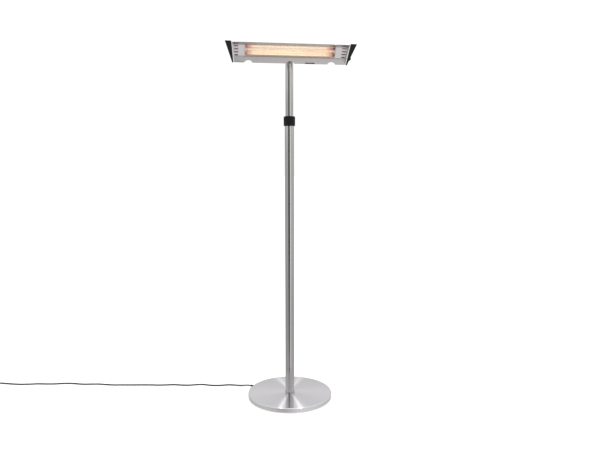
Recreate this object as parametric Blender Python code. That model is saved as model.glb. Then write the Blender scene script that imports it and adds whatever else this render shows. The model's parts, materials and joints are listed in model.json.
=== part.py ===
"""Free-standing electric patio heater on a telescopic pole.

Metres, +Z up. The origin is the middle of the base on the floor. The head looks along -Y and down,
and its length runs along X. The head's own frame has its middle on the face that holds the guard:
x along the head, y straight back from the face, z up along the face.
"""

from math import cos, hypot, pi, radians, sin, sqrt

import bmesh
import bpy
from mathutils import Matrix, Vector

GAP = 0.0003  # between pieces that touch

# Base
BASE_RADIUS = 0.225
BASE_HEIGHT = 0.026
BASE_RIM = 0.006
COVER_SHEET = 0.0015
COVER_FOOT = 0.0032
FOOT_RING = (0.188, 0.212, 0.0029)
PLATE_RADIUS = 0.2225
PLATE_TOP = 0.0052
WEIGHT_RADIUS = 0.195
WEIGHT_BOTTOM = 0.0055
WEIGHT_TOP = 0.0150
COUNTERBORE = 0.0175
COUNTERBORE_TOP = 0.0103
CENTRE_BOLT_RADIUS = 0.005

# Pole
LOWER_TUBE_RADIUS = 0.0243
UPPER_TUBE_RADIUS = 0.0205
TUBE_WALL = 0.0015
LOWER_TUBE_TOP = 1.4750
UPPER_TUBE_BOTTOM = 1.0800
UPPER_TUBE_TOP = 1.7785
COLLAR_RADIUS = 0.0300
COLLAR_BOTTOM = 1.4520
COLLAR_SPLIT = 1.4688
COLLAR_TOP = 1.5016
NECK_RADIUS = 0.0262
POLE_PLUG_BOTTOM = 0.0300
POLE_PLUG_TOP = 0.0720
MAST_PLUG_DEPTH = 0.037
YOKE_SCREW_X = 0.0125
YOKE_SCREW_DEPTH = 0.0225
HEAD_LEAD_Y = -0.0055

# Tilt joint
FACE_TILT = radians(36)
TILT_AXIS = Vector((0.0, 0.010, 1.8168))
PIVOT_BACK = 0.052
PIVOT_DROP = 0.039
TILT_BOLT_RADIUS = 0.004
EAR_RADIUS = 0.0105
YOKE_HALF_WIDTH = 0.0265
YOKE_SHEET = 0.003
BRACKET_EAR_X = (0.0195, 0.0220)
BRACKET_SHEET = 0.0025
BRACKET_SCREW_X = 0.0285

# Head, in its own frame
SHELL = 0.002
FACE_HALF = 0.0304
LIP_HALF = 0.0535
LIP_OUT = 0.0231
BODY_DEPTH = 0.043
REAR_HALF = 0.0205
HEAD_HALF_LENGTH = 0.2868
HEAD_RAKE = 0.095
END_PLATE = 0.0050
CAP_MARGIN = 0.002
CAP_TOP = 0.0638
CAP_OUTER = 0.3095
CAP_RAKE = 0.319
NOTCH_X = (-0.2115, 0.0, 0.2115)
NOTCH_RADIUS = 0.0235
NOTCH_OVER_LIP = 0.0105
CHAMBER_HALF_LENGTH = 0.2290
BULKHEAD = 0.0012
LAMP_Y = 0.016
LAMP_RADIUS = 0.007
LAMP_HALF_LENGTH = 0.2222
LAMP_END_SIZE = (0.0255, 0.013, 0.017)
REFLECTOR_DEPTH = 0.032
REFLECTOR_HALF = 0.0285
CAP_SCREWS = ((0.020, 0.012), (0.036, -0.008))
KNOB_Y, KNOB_Z = -0.0095, -0.0255
KNOB_RADIUS = 0.010
GLAND_Y = 0.030

# Leads
CORD_RADIUS = 0.00375
INNER_LEAD_RADIUS = 0.003
HEAD_LEAD_RADIUS = 0.0035
FLOOR_CLEARANCE = 0.0003
CORD_EXIT_ANGLE = radians(145)
CORD_EXIT_HEIGHT = 0.013
STRAIN_RELIEF_LENGTH = 0.026
RELIEF_HOLE = 0.0062
RELIEF_WAIST = 0.0059
INNER_LEAD_REACH = 0.0145  # from the pole's axis to the lead inside its plug
COIL_CENTRE = (-1.690, 0.3585)
COIL_RADIUS = 0.045
PLUG_BACK = 0.070  # from the coil's middle to where the plug's sleeve starts, along -Y

# The lead's way over the floor from the strain relief to the coil.
CORD_ROUTE = [
    (-0.222, 0.155), (-0.250, 0.165), (-0.276, 0.177), (-0.300, 0.188), (-0.330, 0.194),
    (-0.365, 0.193), (-0.400, 0.195), (-0.430, 0.202), (-0.455, 0.212), (-0.480, 0.221),
    (-0.510, 0.222), (-0.545, 0.220), (-0.580, 0.225), (-0.615, 0.234), (-0.645, 0.241),
    (-0.680, 0.242), (-0.725, 0.246), (-0.775, 0.256), (-0.825, 0.263), (-0.880, 0.270),
    (-0.935, 0.278), (-0.985, 0.285), (-1.025, 0.297), (-1.065, 0.309), (-1.105, 0.314),
    (-1.150, 0.319), (-1.190, 0.331), (-1.230, 0.343), (-1.275, 0.347), (-1.320, 0.347),
    (-1.365, 0.353), (-1.410, 0.361), (-1.460, 0.363), (-1.510, 0.368), (-1.560, 0.381),
    (-1.605, 0.396), (-1.640, 0.405),
]

# Colour, roughness and metallic value of each finish.
LOOKS = {
    "brushed_steel": ((0.60, 0.59, 0.60), 0.30, 1.0),
    "aluminium": ((0.66, 0.64, 0.64), 0.35, 1.0),
    "mirror_aluminium": ((0.86, 0.84, 0.80), 0.12, 1.0),
    "zinc_steel": ((0.55, 0.55, 0.54), 0.38, 1.0),
    "cast_iron": ((0.09, 0.09, 0.09), 0.75, 1.0),
    "black_plastic": ((0.030, 0.028, 0.029), 0.50, 0.0),
    "white_plastic": ((0.75, 0.74, 0.70), 0.45, 0.0),
    "smoked_plastic": ((0.020, 0.018, 0.018), 0.12, 0.0),
    "rubber": ((0.022, 0.022, 0.022), 0.70, 0.0),
    "ceramic": ((0.80, 0.77, 0.70), 0.60, 0.0),
    "quartz": ((0.95, 0.80, 0.55), 0.08, 0.0),
    "element": ((1.00, 0.62, 0.25), 0.50, 0.0),
}


def clear_scene():
    for thing in list(bpy.data.objects):
        bpy.data.objects.remove(thing, do_unlink=True)


def material(name, look):
    colour, roughness, metallic = LOOKS[look]
    made = bpy.data.materials.new(name)
    made.use_nodes = True
    shader = made.node_tree.nodes["Principled BSDF"]
    shader.inputs["Base Color"].default_value = (*colour, 1.0)
    shader.inputs["Roughness"].default_value = roughness
    shader.inputs["Metallic"].default_value = metallic
    made.diffuse_color = (*colour, 1.0)
    return made


def place(thing, parent, matrix):
    bpy.context.scene.collection.objects.link(thing)
    thing.parent = parent
    if matrix is not None:
        thing.matrix_local = matrix
    return thing


def empty(name, location, tilt=0.0, parent=None):
    matrix = Matrix.Translation(location) @ Matrix.Rotation(tilt, 4, "X")
    return place(bpy.data.objects.new(name, None), parent, matrix)


def solid(name, shape, look, parent=None, matrix=None):
    """A named object from a bmesh, with its own material and smooth shading on round faces."""
    bmesh.ops.recalc_face_normals(shape, faces=shape.faces)
    mesh = bpy.data.meshes.new(name)
    shape.to_mesh(mesh)
    shape.free()
    mesh.shade_smooth()
    mesh.set_sharp_from_angle(angle=radians(32))
    mesh.materials.append(material(name, look))
    return place(bpy.data.objects.new(name, mesh), parent, matrix)


def combine(piece, shape, operation="DIFFERENCE", parent=None, matrix=None):
    """Cut a bmesh out of a piece, or add it with operation UNION."""
    mesh = bpy.data.meshes.new(piece.name + "_guide")
    bmesh.ops.recalc_face_normals(shape, faces=shape.faces)
    shape.to_mesh(mesh)
    shape.free()
    guide = place(bpy.data.objects.new(mesh.name, mesh), parent, matrix)
    guide.hide_render = True
    guide.display_type = "WIRE"
    modifier = piece.modifiers.new(operation.lower(), "BOOLEAN")
    modifier.operation = operation
    modifier.object = guide


def hexagon(angle):
    """The radius of a hexagon as a share of its corner's radius."""
    return cos(pi / 6) / cos(angle % (pi / 3) - pi / 6)


def lobed(angle):
    return 1.0 + 0.09 * cos(5 * angle)


def fluted(angle):
    return 1.0 - 0.025 * (1 + cos(12 * angle))


def spun(outline, segments=24, sweep=2 * pi):
    """An outline of (radius, height) turned about Z, closed over the axis or back to its start.

    A third value is a function of the angle that scales the radius there.
    """
    shape = bmesh.new()
    whole = sweep == 2 * pi
    count = segments if whole else segments + 1
    on_axis = outline[0][0] == 0
    rings = []
    for radius, height, *form in outline[1:-1] if on_axis else outline:
        angles = [sweep * step / segments for step in range(count)]
        reach = [radius * (form[0](angle) if form else 1.0) for angle in angles]
        rings.append([
            shape.verts.new((far * cos(angle), far * sin(angle), height))
            for far, angle in zip(reach, angles)
        ])
    for ring, other in zip(rings, rings[1:] if on_axis else rings[1:] + rings[:1]):
        for step in range(segments):
            after = (step + 1) % count
            shape.faces.new((ring[step], ring[after], other[after], other[step]))
    if on_axis:
        shape.faces.new(rings[0])
        shape.faces.new(rings[-1])
    if not whole:
        shape.faces.new([ring[0] for ring in rings])
        shape.faces.new([ring[-1] for ring in rings])
    return shape


def prism(outline, low, high, lean_low=0.0, lean_high=0.0):
    """An outline of (y, z) drawn out along X, whose ends lean along X with height."""
    shape = bmesh.new()
    ends = [
        [shape.verts.new((x + lean * z, y, z)) for y, z in outline]
        for x, lean in ((low, lean_low), (high, lean_high))
    ]
    for end in ends:
        shape.faces.new(end)
    count = len(outline)
    for step in range(count):
        after = (step + 1) % count
        shape.faces.new((ends[0][step], ends[0][after], ends[1][after], ends[1][step]))
    return shape


def box(low, high):
    outline = [(low[1], low[2]), (high[1], low[2]), (high[1], high[2]), (low[1], high[2])]
    return prism(outline, low[0], high[0])


def latticed(xs, zs, is_solid, front, back, shear=0.0):
    """A flat plate of cells between the lines xs and zs, open where is_solid says no.

    Shear leans the plate's far side along X with height.
    """
    shape = bmesh.new()
    corners = {}

    def corner(i, j, y):
        if (i, j, y) not in corners:
            share = (xs[i] - xs[0]) / (xs[-1] - xs[0])
            x = xs[i] + shear * zs[j] * share
            corners[i, j, y] = shape.verts.new((x, y, zs[j]))
        return corners[i, j, y]

    def filled(i, j):
        return 0 <= i < len(xs) - 1 and 0 <= j < len(zs) - 1 and is_solid(i, j)

    for i in range(len(xs) - 1):
        for j in range(len(zs) - 1):
            if not filled(i, j):
                continue
            loop = [(i, j), (i + 1, j), (i + 1, j + 1), (i, j + 1)]
            beside = [(i, j - 1), (i + 1, j), (i, j + 1), (i - 1, j)]
            for y in (front, back):
                shape.faces.new([corner(*at, y) for at in loop])
            for side, neighbour in enumerate(beside):
                if not filled(*neighbour):
                    a, b = loop[side], loop[(side + 1) % 4]
                    shape.faces.new([
                        corner(*a, front), corner(*b, front), corner(*b, back), corner(*a, back)
                    ])
    return shape


def arc(centre, radius, start, end, steps):
    """Points on an arc, from start to end in degrees."""
    angles = [radians(start + (end - start) * step / steps) for step in range(steps + 1)]
    return [(centre[0] + radius * cos(a), centre[1] + radius * sin(a)) for a in angles]


def offset(path, distance):
    """A path of (y, z) moved to its left by distance, with mitred corners."""
    normals = []
    for (y0, z0), (y1, z1) in zip(path, path[1:]):
        length = hypot(y1 - y0, z1 - z0)
        normals.append(((z0 - z1) / length, (y1 - y0) / length))
    moved = []
    for index, (y, z) in enumerate(path):
        before = normals[max(index - 1, 0)]
        after = normals[min(index, len(normals) - 1)]
        scale = distance / (1 + before[0] * after[0] + before[1] * after[1])
        moved.append((y + scale * (before[0] + after[0]), z + scale * (before[1] + after[1])))
    return moved


def thickened(path, sheet):
    return path + offset(path, sheet)[::-1]


def smooth_path(points, spacing):
    """Points about spacing apart on a Catmull-Rom curve through the given points."""
    ends = [2 * points[0] - points[1]] + points + [2 * points[-1] - points[-2]]
    path = []
    for before, start, end, after in zip(ends, ends[1:], ends[2:], ends[3:]):
        steps = max(1, round((end - start).length / spacing))
        for step in range(steps):
            t = step / steps
            bend = (2 * before - 5 * start + 4 * end - after) * t * t
            twist = (3 * start - before - 3 * end + after) * t * t * t
            path.append((2 * start + (end - before) * t + bend + twist) / 2)
    return path + [points[-1]]


def tube_along(name, path, radius, look, parent=None, sides=2):
    """A lead or cord: a bevelled curve with closed ends."""
    curve = bpy.data.curves.new(name, "CURVE")
    curve.dimensions = "3D"
    curve.bevel_depth = radius
    curve.bevel_resolution = sides
    curve.use_fill_caps = True
    spline = curve.splines.new("POLY")
    spline.points.add(len(path) - 1)
    for point, at in zip(spline.points, path):
        point.co = (*at, 1.0)
    curve.materials.append(material(name, look))
    return place(bpy.data.objects.new(name, curve), parent, None)


def along(direction, at):
    """A frame at a point whose Z axis is the direction."""
    turn = Vector(direction).to_track_quat("Z", "Y").to_matrix().to_4x4()
    return Matrix.Translation(at) @ turn


def at_exit_angle(reach, height):
    """A point at a distance from the middle, in the direction where the lead leaves."""
    return Vector((reach * cos(CORD_EXIT_ANGLE), reach * sin(CORD_EXIT_ANGLE), height))


def ring(inner, outer, bottom, top):
    return [(inner, bottom), (outer, bottom), (outer, top), (inner, top)]


# Base


def build_base():
    rim = (BASE_RADIUS - BASE_RIM, BASE_HEIGHT - BASE_RIM)
    mouth = LOWER_TUBE_RADIUS + GAP
    outline = [(BASE_RADIUS, COVER_FOOT)]
    outline += arc(rim, BASE_RIM, 0, 90, 3)
    outline += [(mouth, BASE_HEIGHT), (mouth, BASE_HEIGHT - COVER_SHEET)]
    outline += arc(rim, BASE_RIM - COVER_SHEET, 90, 0, 3)
    outline += [(BASE_RADIUS - COVER_SHEET, COVER_FOOT)]
    cover = solid("base_cover", spun(outline, 60), "brushed_steel")
    outward = at_exit_angle(1, 0)
    exit_frame = along(outward, at_exit_angle(BASE_RADIUS, CORD_EXIT_HEIGHT))
    combine(cover, spun([(0, -0.01), (RELIEF_HOLE, -0.01), (RELIEF_HOLE, 0.01), (0, 0.01)], 16),
            matrix=exit_frame)

    bolt_hole = CENTRE_BOLT_RADIUS + GAP
    weight = [
        (bolt_hole, WEIGHT_TOP), (WEIGHT_RADIUS, WEIGHT_TOP), (WEIGHT_RADIUS, WEIGHT_BOTTOM),
        (COUNTERBORE, WEIGHT_BOTTOM), (COUNTERBORE, COUNTERBORE_TOP),
        (bolt_hole, COUNTERBORE_TOP),
    ]
    solid("base_weight", spun(weight, 36), "cast_iron")
    plate = ring(0.0205, PLATE_RADIUS, COVER_FOOT, PLATE_TOP)
    solid("bottom_plate", spun(plate, 48), "zinc_steel")
    inner, outer, height = FOOT_RING
    solid("foot_ring", spun(ring(inner, outer, 0.0, height), 48), "rubber")

    flange_top = COUNTERBORE_TOP - GAP
    bolt = [
        (0, 0.0022), (0.0100, 0.0022, hexagon), (0.0100, 0.0082, hexagon), (0.0145, 0.0082),
        (0.0145, flange_top), (CENTRE_BOLT_RADIUS, flange_top), (CENTRE_BOLT_RADIUS, 0.062),
        (0, 0.062),
    ]
    solid("centre_bolt", spun(bolt, 24), "zinc_steel")

    bore = CORD_RADIUS + GAP
    inside = -COVER_SHEET - 0.0008  # the cover's wall is round, and the flange is flat
    relief = [
        (bore, -0.0095), (0.0072, -0.0095), (0.0072, inside), (RELIEF_WAIST, inside),
        (RELIEF_WAIST, GAP),
        (0.0085, GAP), (0.0085, 0.0022), (0.0072, 0.0030), (0.0056, STRAIN_RELIEF_LENGTH),
        (bore, STRAIN_RELIEF_LENGTH),
    ]
    solid("cord_strain_relief", spun(relief, 16), "rubber", matrix=exit_frame)


def build_pole_foot():
    inside = LOWER_TUBE_RADIUS - TUBE_WALL
    bottom = WEIGHT_TOP + GAP
    tube = solid("lower_tube", spun(ring(inside, LOWER_TUBE_RADIUS, bottom, LOWER_TUBE_TOP), 40),
                 "brushed_steel")
    notch_frame = Matrix.Rotation(CORD_EXIT_ANGLE, 4, "Z")
    combine(tube, box((0.010, -0.005, 0.010), (0.035, 0.005, 0.0265)), matrix=notch_frame)

    hole = CENTRE_BOLT_RADIUS + GAP
    plug_outline = [
        (0, 0.064), (hole, 0.064), (hole, POLE_PLUG_BOTTOM), (inside - GAP, POLE_PLUG_BOTTOM),
        (inside - GAP, POLE_PLUG_TOP), (0, POLE_PLUG_TOP),
    ]
    plug = solid("pole_plug", spun(plug_outline, 32), "zinc_steel")
    lead_hole = [(0, 0.02), (0.0036, 0.02), (0.0036, 0.08), (0, 0.08)]
    combine(plug, spun(lead_hole, 12),
            matrix=Matrix.Translation(at_exit_angle(INNER_LEAD_REACH, 0)))

    run = [
        (0.2140, CORD_EXIT_HEIGHT), (0.2060, 0.0162), (0.1970, 0.0192), (0.1600, 0.0197),
        (0.1000, 0.0195), (0.0420, 0.0195), (0.0280, 0.0199), (0.0190, 0.0228),
        (INNER_LEAD_REACH, 0.0300), (INNER_LEAD_REACH, 0.0500), (INNER_LEAD_REACH, 0.0752),
    ]
    path = smooth_path([at_exit_angle(*at) for at in run], 0.020)
    tube_along("base_lead", path, INNER_LEAD_RADIUS, "rubber")
    coil = ring(0.0065, 0.0125, 0.0765, 1.0730)
    solid("coiled_lead", spun(coil, 16), "rubber")


def build_collar():
    tube_bore = LOWER_TUBE_RADIUS + GAP
    sleeve_bore = 0.0232
    neck_top = 1.4905
    socket = [
        (tube_bore, COLLAR_BOTTOM), (COLLAR_RADIUS - 0.0015, COLLAR_BOTTOM),
        (COLLAR_RADIUS, COLLAR_BOTTOM + 0.0015), (COLLAR_RADIUS, COLLAR_SPLIT - GAP),
        (NECK_RADIUS, COLLAR_SPLIT - GAP), (NECK_RADIUS, neck_top), (sleeve_bore, neck_top),
        (sleeve_bore, LOWER_TUBE_TOP + GAP), (tube_bore, LOWER_TUBE_TOP + GAP),
    ]
    solid("collar_socket", spun(socket, 32), "black_plastic")

    sleeve_top = 1.4975
    inner = UPPER_TUBE_RADIUS + GAP
    outline = ring(inner, sleeve_bore - GAP, LOWER_TUBE_TOP + 2 * GAP, sleeve_top)
    solid("clamp_sleeve", spun(outline, 32, radians(350)), "white_plastic")

    shoulder = (COLLAR_RADIUS - 0.0055, COLLAR_TOP - 0.0055)
    nut = [(NECK_RADIUS + 0.0004, COLLAR_SPLIT), (COLLAR_RADIUS, COLLAR_SPLIT)]
    nut += arc(shoulder, 0.0055, 0, 90, 4)
    nut += [
        (inner + 0.0001, COLLAR_TOP), (inner + 0.0001, sleeve_top + 0.0005),
        (sleeve_bore + 0.0002, sleeve_top + 0.0005), (sleeve_bore + 0.0002, neck_top + 0.0005),
        (NECK_RADIUS + 0.0004, neck_top + 0.0005),
    ]
    solid("collar_nut", spun(nut, 32), "black_plastic")


def build_mast(mast):
    inside = UPPER_TUBE_RADIUS - TUBE_WALL
    outer = LOWER_TUBE_RADIUS - TUBE_WALL - GAP
    bush = [
        (0.0170, 1.0735), (outer, 1.0735), (outer, 1.1250), (UPPER_TUBE_RADIUS + GAP, 1.1250),
        (UPPER_TUBE_RADIUS + GAP, UPPER_TUBE_BOTTOM - GAP), (0.0170, UPPER_TUBE_BOTTOM - GAP),
    ]
    solid("guide_bush", spun(bush, 32), "white_plastic")
    tube = ring(inside, UPPER_TUBE_RADIUS, UPPER_TUBE_BOTTOM, UPPER_TUBE_TOP)
    solid("upper_tube", spun(tube, 40), "brushed_steel", mast)

    hole_top = UPPER_TUBE_TOP + 0.02
    plug_bottom = UPPER_TUBE_TOP - MAST_PLUG_DEPTH
    plug = solid("mast_plug",
                 spun([(0, plug_bottom), (inside - GAP, plug_bottom),
                       (inside - GAP, UPPER_TUBE_TOP), (0, UPPER_TUBE_TOP)], 32),
                 "zinc_steel", mast)
    screw_bottom = UPPER_TUBE_TOP - YOKE_SCREW_DEPTH
    holes = [(0.0, HEAD_LEAD_Y, plug_bottom - 0.01, HEAD_LEAD_RADIUS + 0.0004)]
    holes += [(side * YOKE_SCREW_X, 0.0, screw_bottom - 0.002, 0.0028) for side in (-1, 1)]
    yoke_bottom = UPPER_TUBE_TOP + GAP
    yoke = build_yoke(mast, yoke_bottom)
    for x, y, bottom, radius in holes:
        for piece in (plug, yoke):
            drill = [(0, bottom), (radius, bottom), (radius, hole_top), (0, hole_top)]
            combine(piece, spun(drill, 16), parent=mast, matrix=Matrix.Translation((x, y, 0)))

    seat = yoke_bottom + YOKE_SHEET + GAP
    screw = [(0, screw_bottom), (0.0025, screw_bottom), (0.0025, seat), (0.0046, seat),
             (0.0040, seat + 0.0028), (0, seat + 0.0028)]
    for side, x in (("left", -YOKE_SCREW_X), ("right", YOKE_SCREW_X)):
        solid("yoke_screw_" + side, spun(screw, 16), "zinc_steel", mast,
              Matrix.Translation((x, 0, 0)))


def build_yoke(mast, bottom):
    """A U of steel strip on the pole's top, whose two ears hold the tilt bolt."""
    top = bottom + YOKE_SHEET
    half = YOKE_HALF_WIDTH
    yoke = solid("yoke", box((-half, -0.015, bottom), (half, 0.020, top)), "zinc_steel", mast)
    ear = [(-0.012, bottom + 0.0005), (0.019, bottom + 0.0005)]
    ear += arc((TILT_AXIS.y, TILT_AXIS.z), EAR_RADIUS, -10, 190, 10)
    for low, high in ((-half, -half + YOKE_SHEET), (half - YOKE_SHEET, half)):
        combine(yoke, prism(ear, low, high), "UNION", mast)
    pivot = [(0, -0.05), (TILT_BOLT_RADIUS + GAP, -0.05), (TILT_BOLT_RADIUS + GAP, 0.05), (0, 0.05)]
    combine(yoke, spun(pivot, 16), parent=mast, matrix=along((1, 0, 0), TILT_AXIS))
    return yoke


def build_tilt_hardware(mast):
    head_left = -YOKE_HALF_WIDTH - GAP
    bolt = [
        (0, head_left - 0.0053), (0.0075, head_left - 0.0053, hexagon),
        (0.0075, head_left, hexagon), (TILT_BOLT_RADIUS, head_left), (TILT_BOLT_RADIUS, 0.0350),
        (0, 0.0350),
    ]
    axis_frame = along((1, 0, 0), TILT_AXIS)
    solid("tilt_bolt", spun(bolt, 24), "zinc_steel", mast, axis_frame)
    start = YOKE_HALF_WIDTH + GAP
    bore = TILT_BOLT_RADIUS + GAP
    knob = [
        (0, 0.0360), (bore, 0.0360), (bore, start), (0.0095, start), (0.0095, start + 0.004),
        (0.0140, start + 0.005, lobed), (0.0140, start + 0.016, lobed),
        (0.0115, start + 0.020, lobed), (0, start + 0.020),
    ]
    solid("tilt_knob", spun(knob, 30), "black_plastic", mast, axis_frame)


# Head


def inner_path():
    """The housing's inner outline, from the upper lip round the back to the lower lip."""
    upper = [(-LIP_OUT, LIP_HALF), (0.0, FACE_HALF), (BODY_DEPTH, REAR_HALF)]
    return upper + [(y, -z) for y, z in reversed(upper)]


def build_housing(face):
    outline = thickened(inner_path(), SHELL)
    shape = prism(outline, -HEAD_HALF_LENGTH, HEAD_HALF_LENGTH, -HEAD_RAKE, HEAD_RAKE)
    housing = solid("housing", shape, "aluminium", face)
    slope = sqrt(0.5)
    notch = [(0, -0.02), (NOTCH_RADIUS, -0.02), (NOTCH_RADIUS, 0.02), (0, 0.02)]
    for x in NOTCH_X:
        middle = Vector((x, -LIP_OUT - slope * NOTCH_OVER_LIP, -LIP_HALF - slope * NOTCH_OVER_LIP))
        combine(housing, spun(notch, 32), parent=face, matrix=along((0, -slope, slope), middle))
    gland = gland_frame()
    opening = [(0, -0.008), (RELIEF_HOLE, -0.008), (RELIEF_HOLE, 0.008), (0, 0.008)]
    combine(housing, spun(opening, 16), parent=face, matrix=gland)
    for x in (-BRACKET_SCREW_X, BRACKET_SCREW_X):
        drill = [(0, -0.006), (0.0028, -0.006), (0.0028, 0.006), (0, 0.006)]
        combine(housing, spun(drill, 12), parent=face,
                matrix=along((0, 1, 0), (x, BODY_DEPTH, 0)))


def gland_frame():
    """On the outside of the housing's lower wall, with Z pointing away from the head."""
    inner = inner_path()
    outer = offset(inner, SHELL)
    (y0, z0), (y1, z1) = outer[3], outer[4]
    share = (GLAND_Y - y0) / (y1 - y0)
    away = Vector((0, z0 - z1, y1 - y0))
    return along(away, (0, GLAND_Y, z0 + share * (z1 - z0)))


def build_gland(face):
    inside = -SHELL - GAP
    outline = [
        (0.0040, -0.0062), (0.0085, -0.0062), (0.0085, inside), (RELIEF_WAIST, inside),
        (RELIEF_WAIST, GAP), (0.0085, GAP), (0.0085, 0.0045), (0.0065, 0.0062),
        (0.0055, 0.0090), (0.0040, 0.0090),
    ]
    solid("head_gland", spun(outline, 16), "black_plastic", face, gland_frame())


def build_bracket(face):
    """The bracket on the head's back, with two ears between the yoke's ears."""
    back = BODY_DEPTH + SHELL + GAP
    half = 0.034
    bracket = solid("head_bracket",
                    box((-half, back, -0.0190), (half, back + BRACKET_SHEET, 0.0190)),
                    "zinc_steel", face)
    ear = [(back + 0.0130, 0.0060), (back + 0.0002, 0.0060), (back + 0.0002, -0.0225)]
    ear += arc((PIVOT_BACK, -PIVOT_DROP), EAR_RADIUS, 165, 375, 12)
    for sign in (-1, 1):
        low, high = sorted(sign * x for x in BRACKET_EAR_X)
        combine(bracket, prism(ear, low, high), "UNION", face)
    hole = TILT_BOLT_RADIUS + GAP
    pivot = [(0, -0.05), (hole, -0.05), (hole, 0.05), (0, 0.05)]
    combine(bracket, spun(pivot, 16), parent=face,
            matrix=along((1, 0, 0), (0, PIVOT_BACK, -PIVOT_DROP)))
    seat = back + BRACKET_SHEET + GAP
    screw = [(0, 0.0385), (0.0025, 0.0385), (0.0025, seat), (0.0046, seat),
             (0.0040, seat + 0.0026), (0, seat + 0.0026)]
    for side, x in (("left", -BRACKET_SCREW_X), ("right", BRACKET_SCREW_X)):
        drill = [(0, 0.03), (0.0028, 0.03), (0.0028, 0.06), (0, 0.06)]
        combine(bracket, spun(drill, 12), parent=face, matrix=along((0, 1, 0), (x, 0, 0)))
        solid("bracket_screw_" + side, spun(screw, 16), "zinc_steel", face,
              along((0, 1, 0), (x, 0, 0)))
    inner = BRACKET_EAR_X[1] + GAP
    washer = ring(hole, 0.0090, inner, inner + 0.0009)
    for side, sign in (("left", -1), ("right", 1)):
        solid("friction_washer_" + side, spun(washer, 24), "white_plastic", face,
              along((sign, 0, 0), (0, PIVOT_BACK, -PIVOT_DROP)))


def build_chamber(face):
    """The lamp chamber: reflector, lamp, ceramic ends in their clips, bulkheads and guard."""
    steps = [REFLECTOR_HALF * (1 - step / 6) for step in range(13)]
    path = [(0.001 + REFLECTOR_DEPTH * (1 - (z / REFLECTOR_HALF) ** 2), z) for z in steps]
    reach = CHAMBER_HALF_LENGTH - 0.0006
    solid("reflector", prism(thickened(path, 0.0008), -reach, reach), "mirror_aluminium", face)

    axis_frame = along((1, 0, 0), (0, LAMP_Y, 0))
    glass = ring(LAMP_RADIUS - 0.0012, LAMP_RADIUS, -LAMP_HALF_LENGTH, LAMP_HALF_LENGTH)
    solid("lamp_tube", spun(glass, 20), "quartz", face, axis_frame)
    element = [(0, -0.215), (0.0024, -0.215), (0.0024, 0.215), (0, 0.215)]
    solid("heating_element", spun(element, 10), "element", face, axis_frame)

    length, deep, high = LAMP_END_SIZE
    start = LAMP_HALF_LENGTH + GAP
    end_low = (start, LAMP_Y - deep / 2, -high / 2)
    end_high = (start + length, LAMP_Y + deep / 2, high / 2)
    outline = [(0.0005, 0.0298), (BODY_DEPTH - 0.0005, 0.0201)]
    outline += [(y, -z) for y, z in reversed(outline)]
    clip_half = high / 2 + 0.0005
    clip_back = LAMP_Y + deep / 2 + 0.0006
    clip = [(0.0100, clip_half), (clip_back, clip_half), (clip_back, -clip_half),
            (0.0100, -clip_half)]
    for side, sign in (("left", -1), ("right", 1)):
        flip = Matrix.Scale(sign, 4, (1, 0, 0))
        block = box(end_low, end_high)
        bmesh.ops.bevel(block, geom=block.edges[:], offset=0.001, segments=1, affect="EDGES")
        wall = prism(outline, CHAMBER_HALF_LENGTH, CHAMBER_HALF_LENGTH + BULKHEAD)
        window = box([v - GAP for v in end_low], [v + GAP for v in end_high])
        spring = prism(thickened(clip, 0.0008), 0.2310, 0.2440)
        for shape in (block, wall, window, spring):
            bmesh.ops.transform(shape, matrix=flip, verts=shape.verts)
        solid("lamp_end_" + side, block, "ceramic", face)
        bulkhead = solid("bulkhead_" + side, wall, "zinc_steel", face)
        combine(bulkhead, window, parent=face)
        solid("lamp_clip_" + side, spring, "zinc_steel", face)

    wire = 0.0018
    reach, rise = CHAMBER_HALF_LENGTH - 0.0006, 0.0298
    xs, zs = bars(reach, 10, wire), bars(rise, 3, wire)
    guard = latticed(xs, zs, lambda i, j: i % 2 == 0 or j % 2 == 0, -0.0020, -0.0004)
    solid("guard_grille", guard, "zinc_steel", face)


def bars(reach, spaces, wire):
    """The edges of bars one wire wide from -reach to reach, with equal spaces between them."""
    pitch = (2 * reach - wire) / spaces
    lines = []
    for step in range(spaces + 1):
        lines += [-reach + step * pitch, -reach + step * pitch + wire]
    return lines


def build_end_bays(face):
    """Louvred panels in front of the end compartments, and what is wired inside them."""
    xs = [0.2306, 0.2612, 0.2835, 0.2863]
    slot, pitch = 0.0078, 0.0158
    zs = [-0.0296]
    for middle in (-1.5, -0.5, 0.5, 1.5):
        zs += [middle * pitch - slot / 2, middle * pitch + slot / 2]
    zs.append(0.0296)
    for side, sign in (("left", -1), ("right", 1)):
        panel = latticed(xs, zs, lambda i, j: i != 1 or j % 2 == 0, 0.0004, 0.0014, HEAD_RAKE)
        bmesh.ops.transform(panel, matrix=Matrix.Scale(sign, 4, (1, 0, 0)), verts=panel.verts)
        solid("louvre_panel_" + side, panel, "aluminium", face)
    solid("terminal_block", box((0.2520, 0.0280, -0.0060), (0.2760, 0.0400, 0.0140)),
          "white_plastic", face)
    solid("tip_over_switch", box((-0.2760, 0.0200, -0.0100), (-0.2540, 0.0400, 0.0100)),
          "black_plastic", face)


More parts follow.
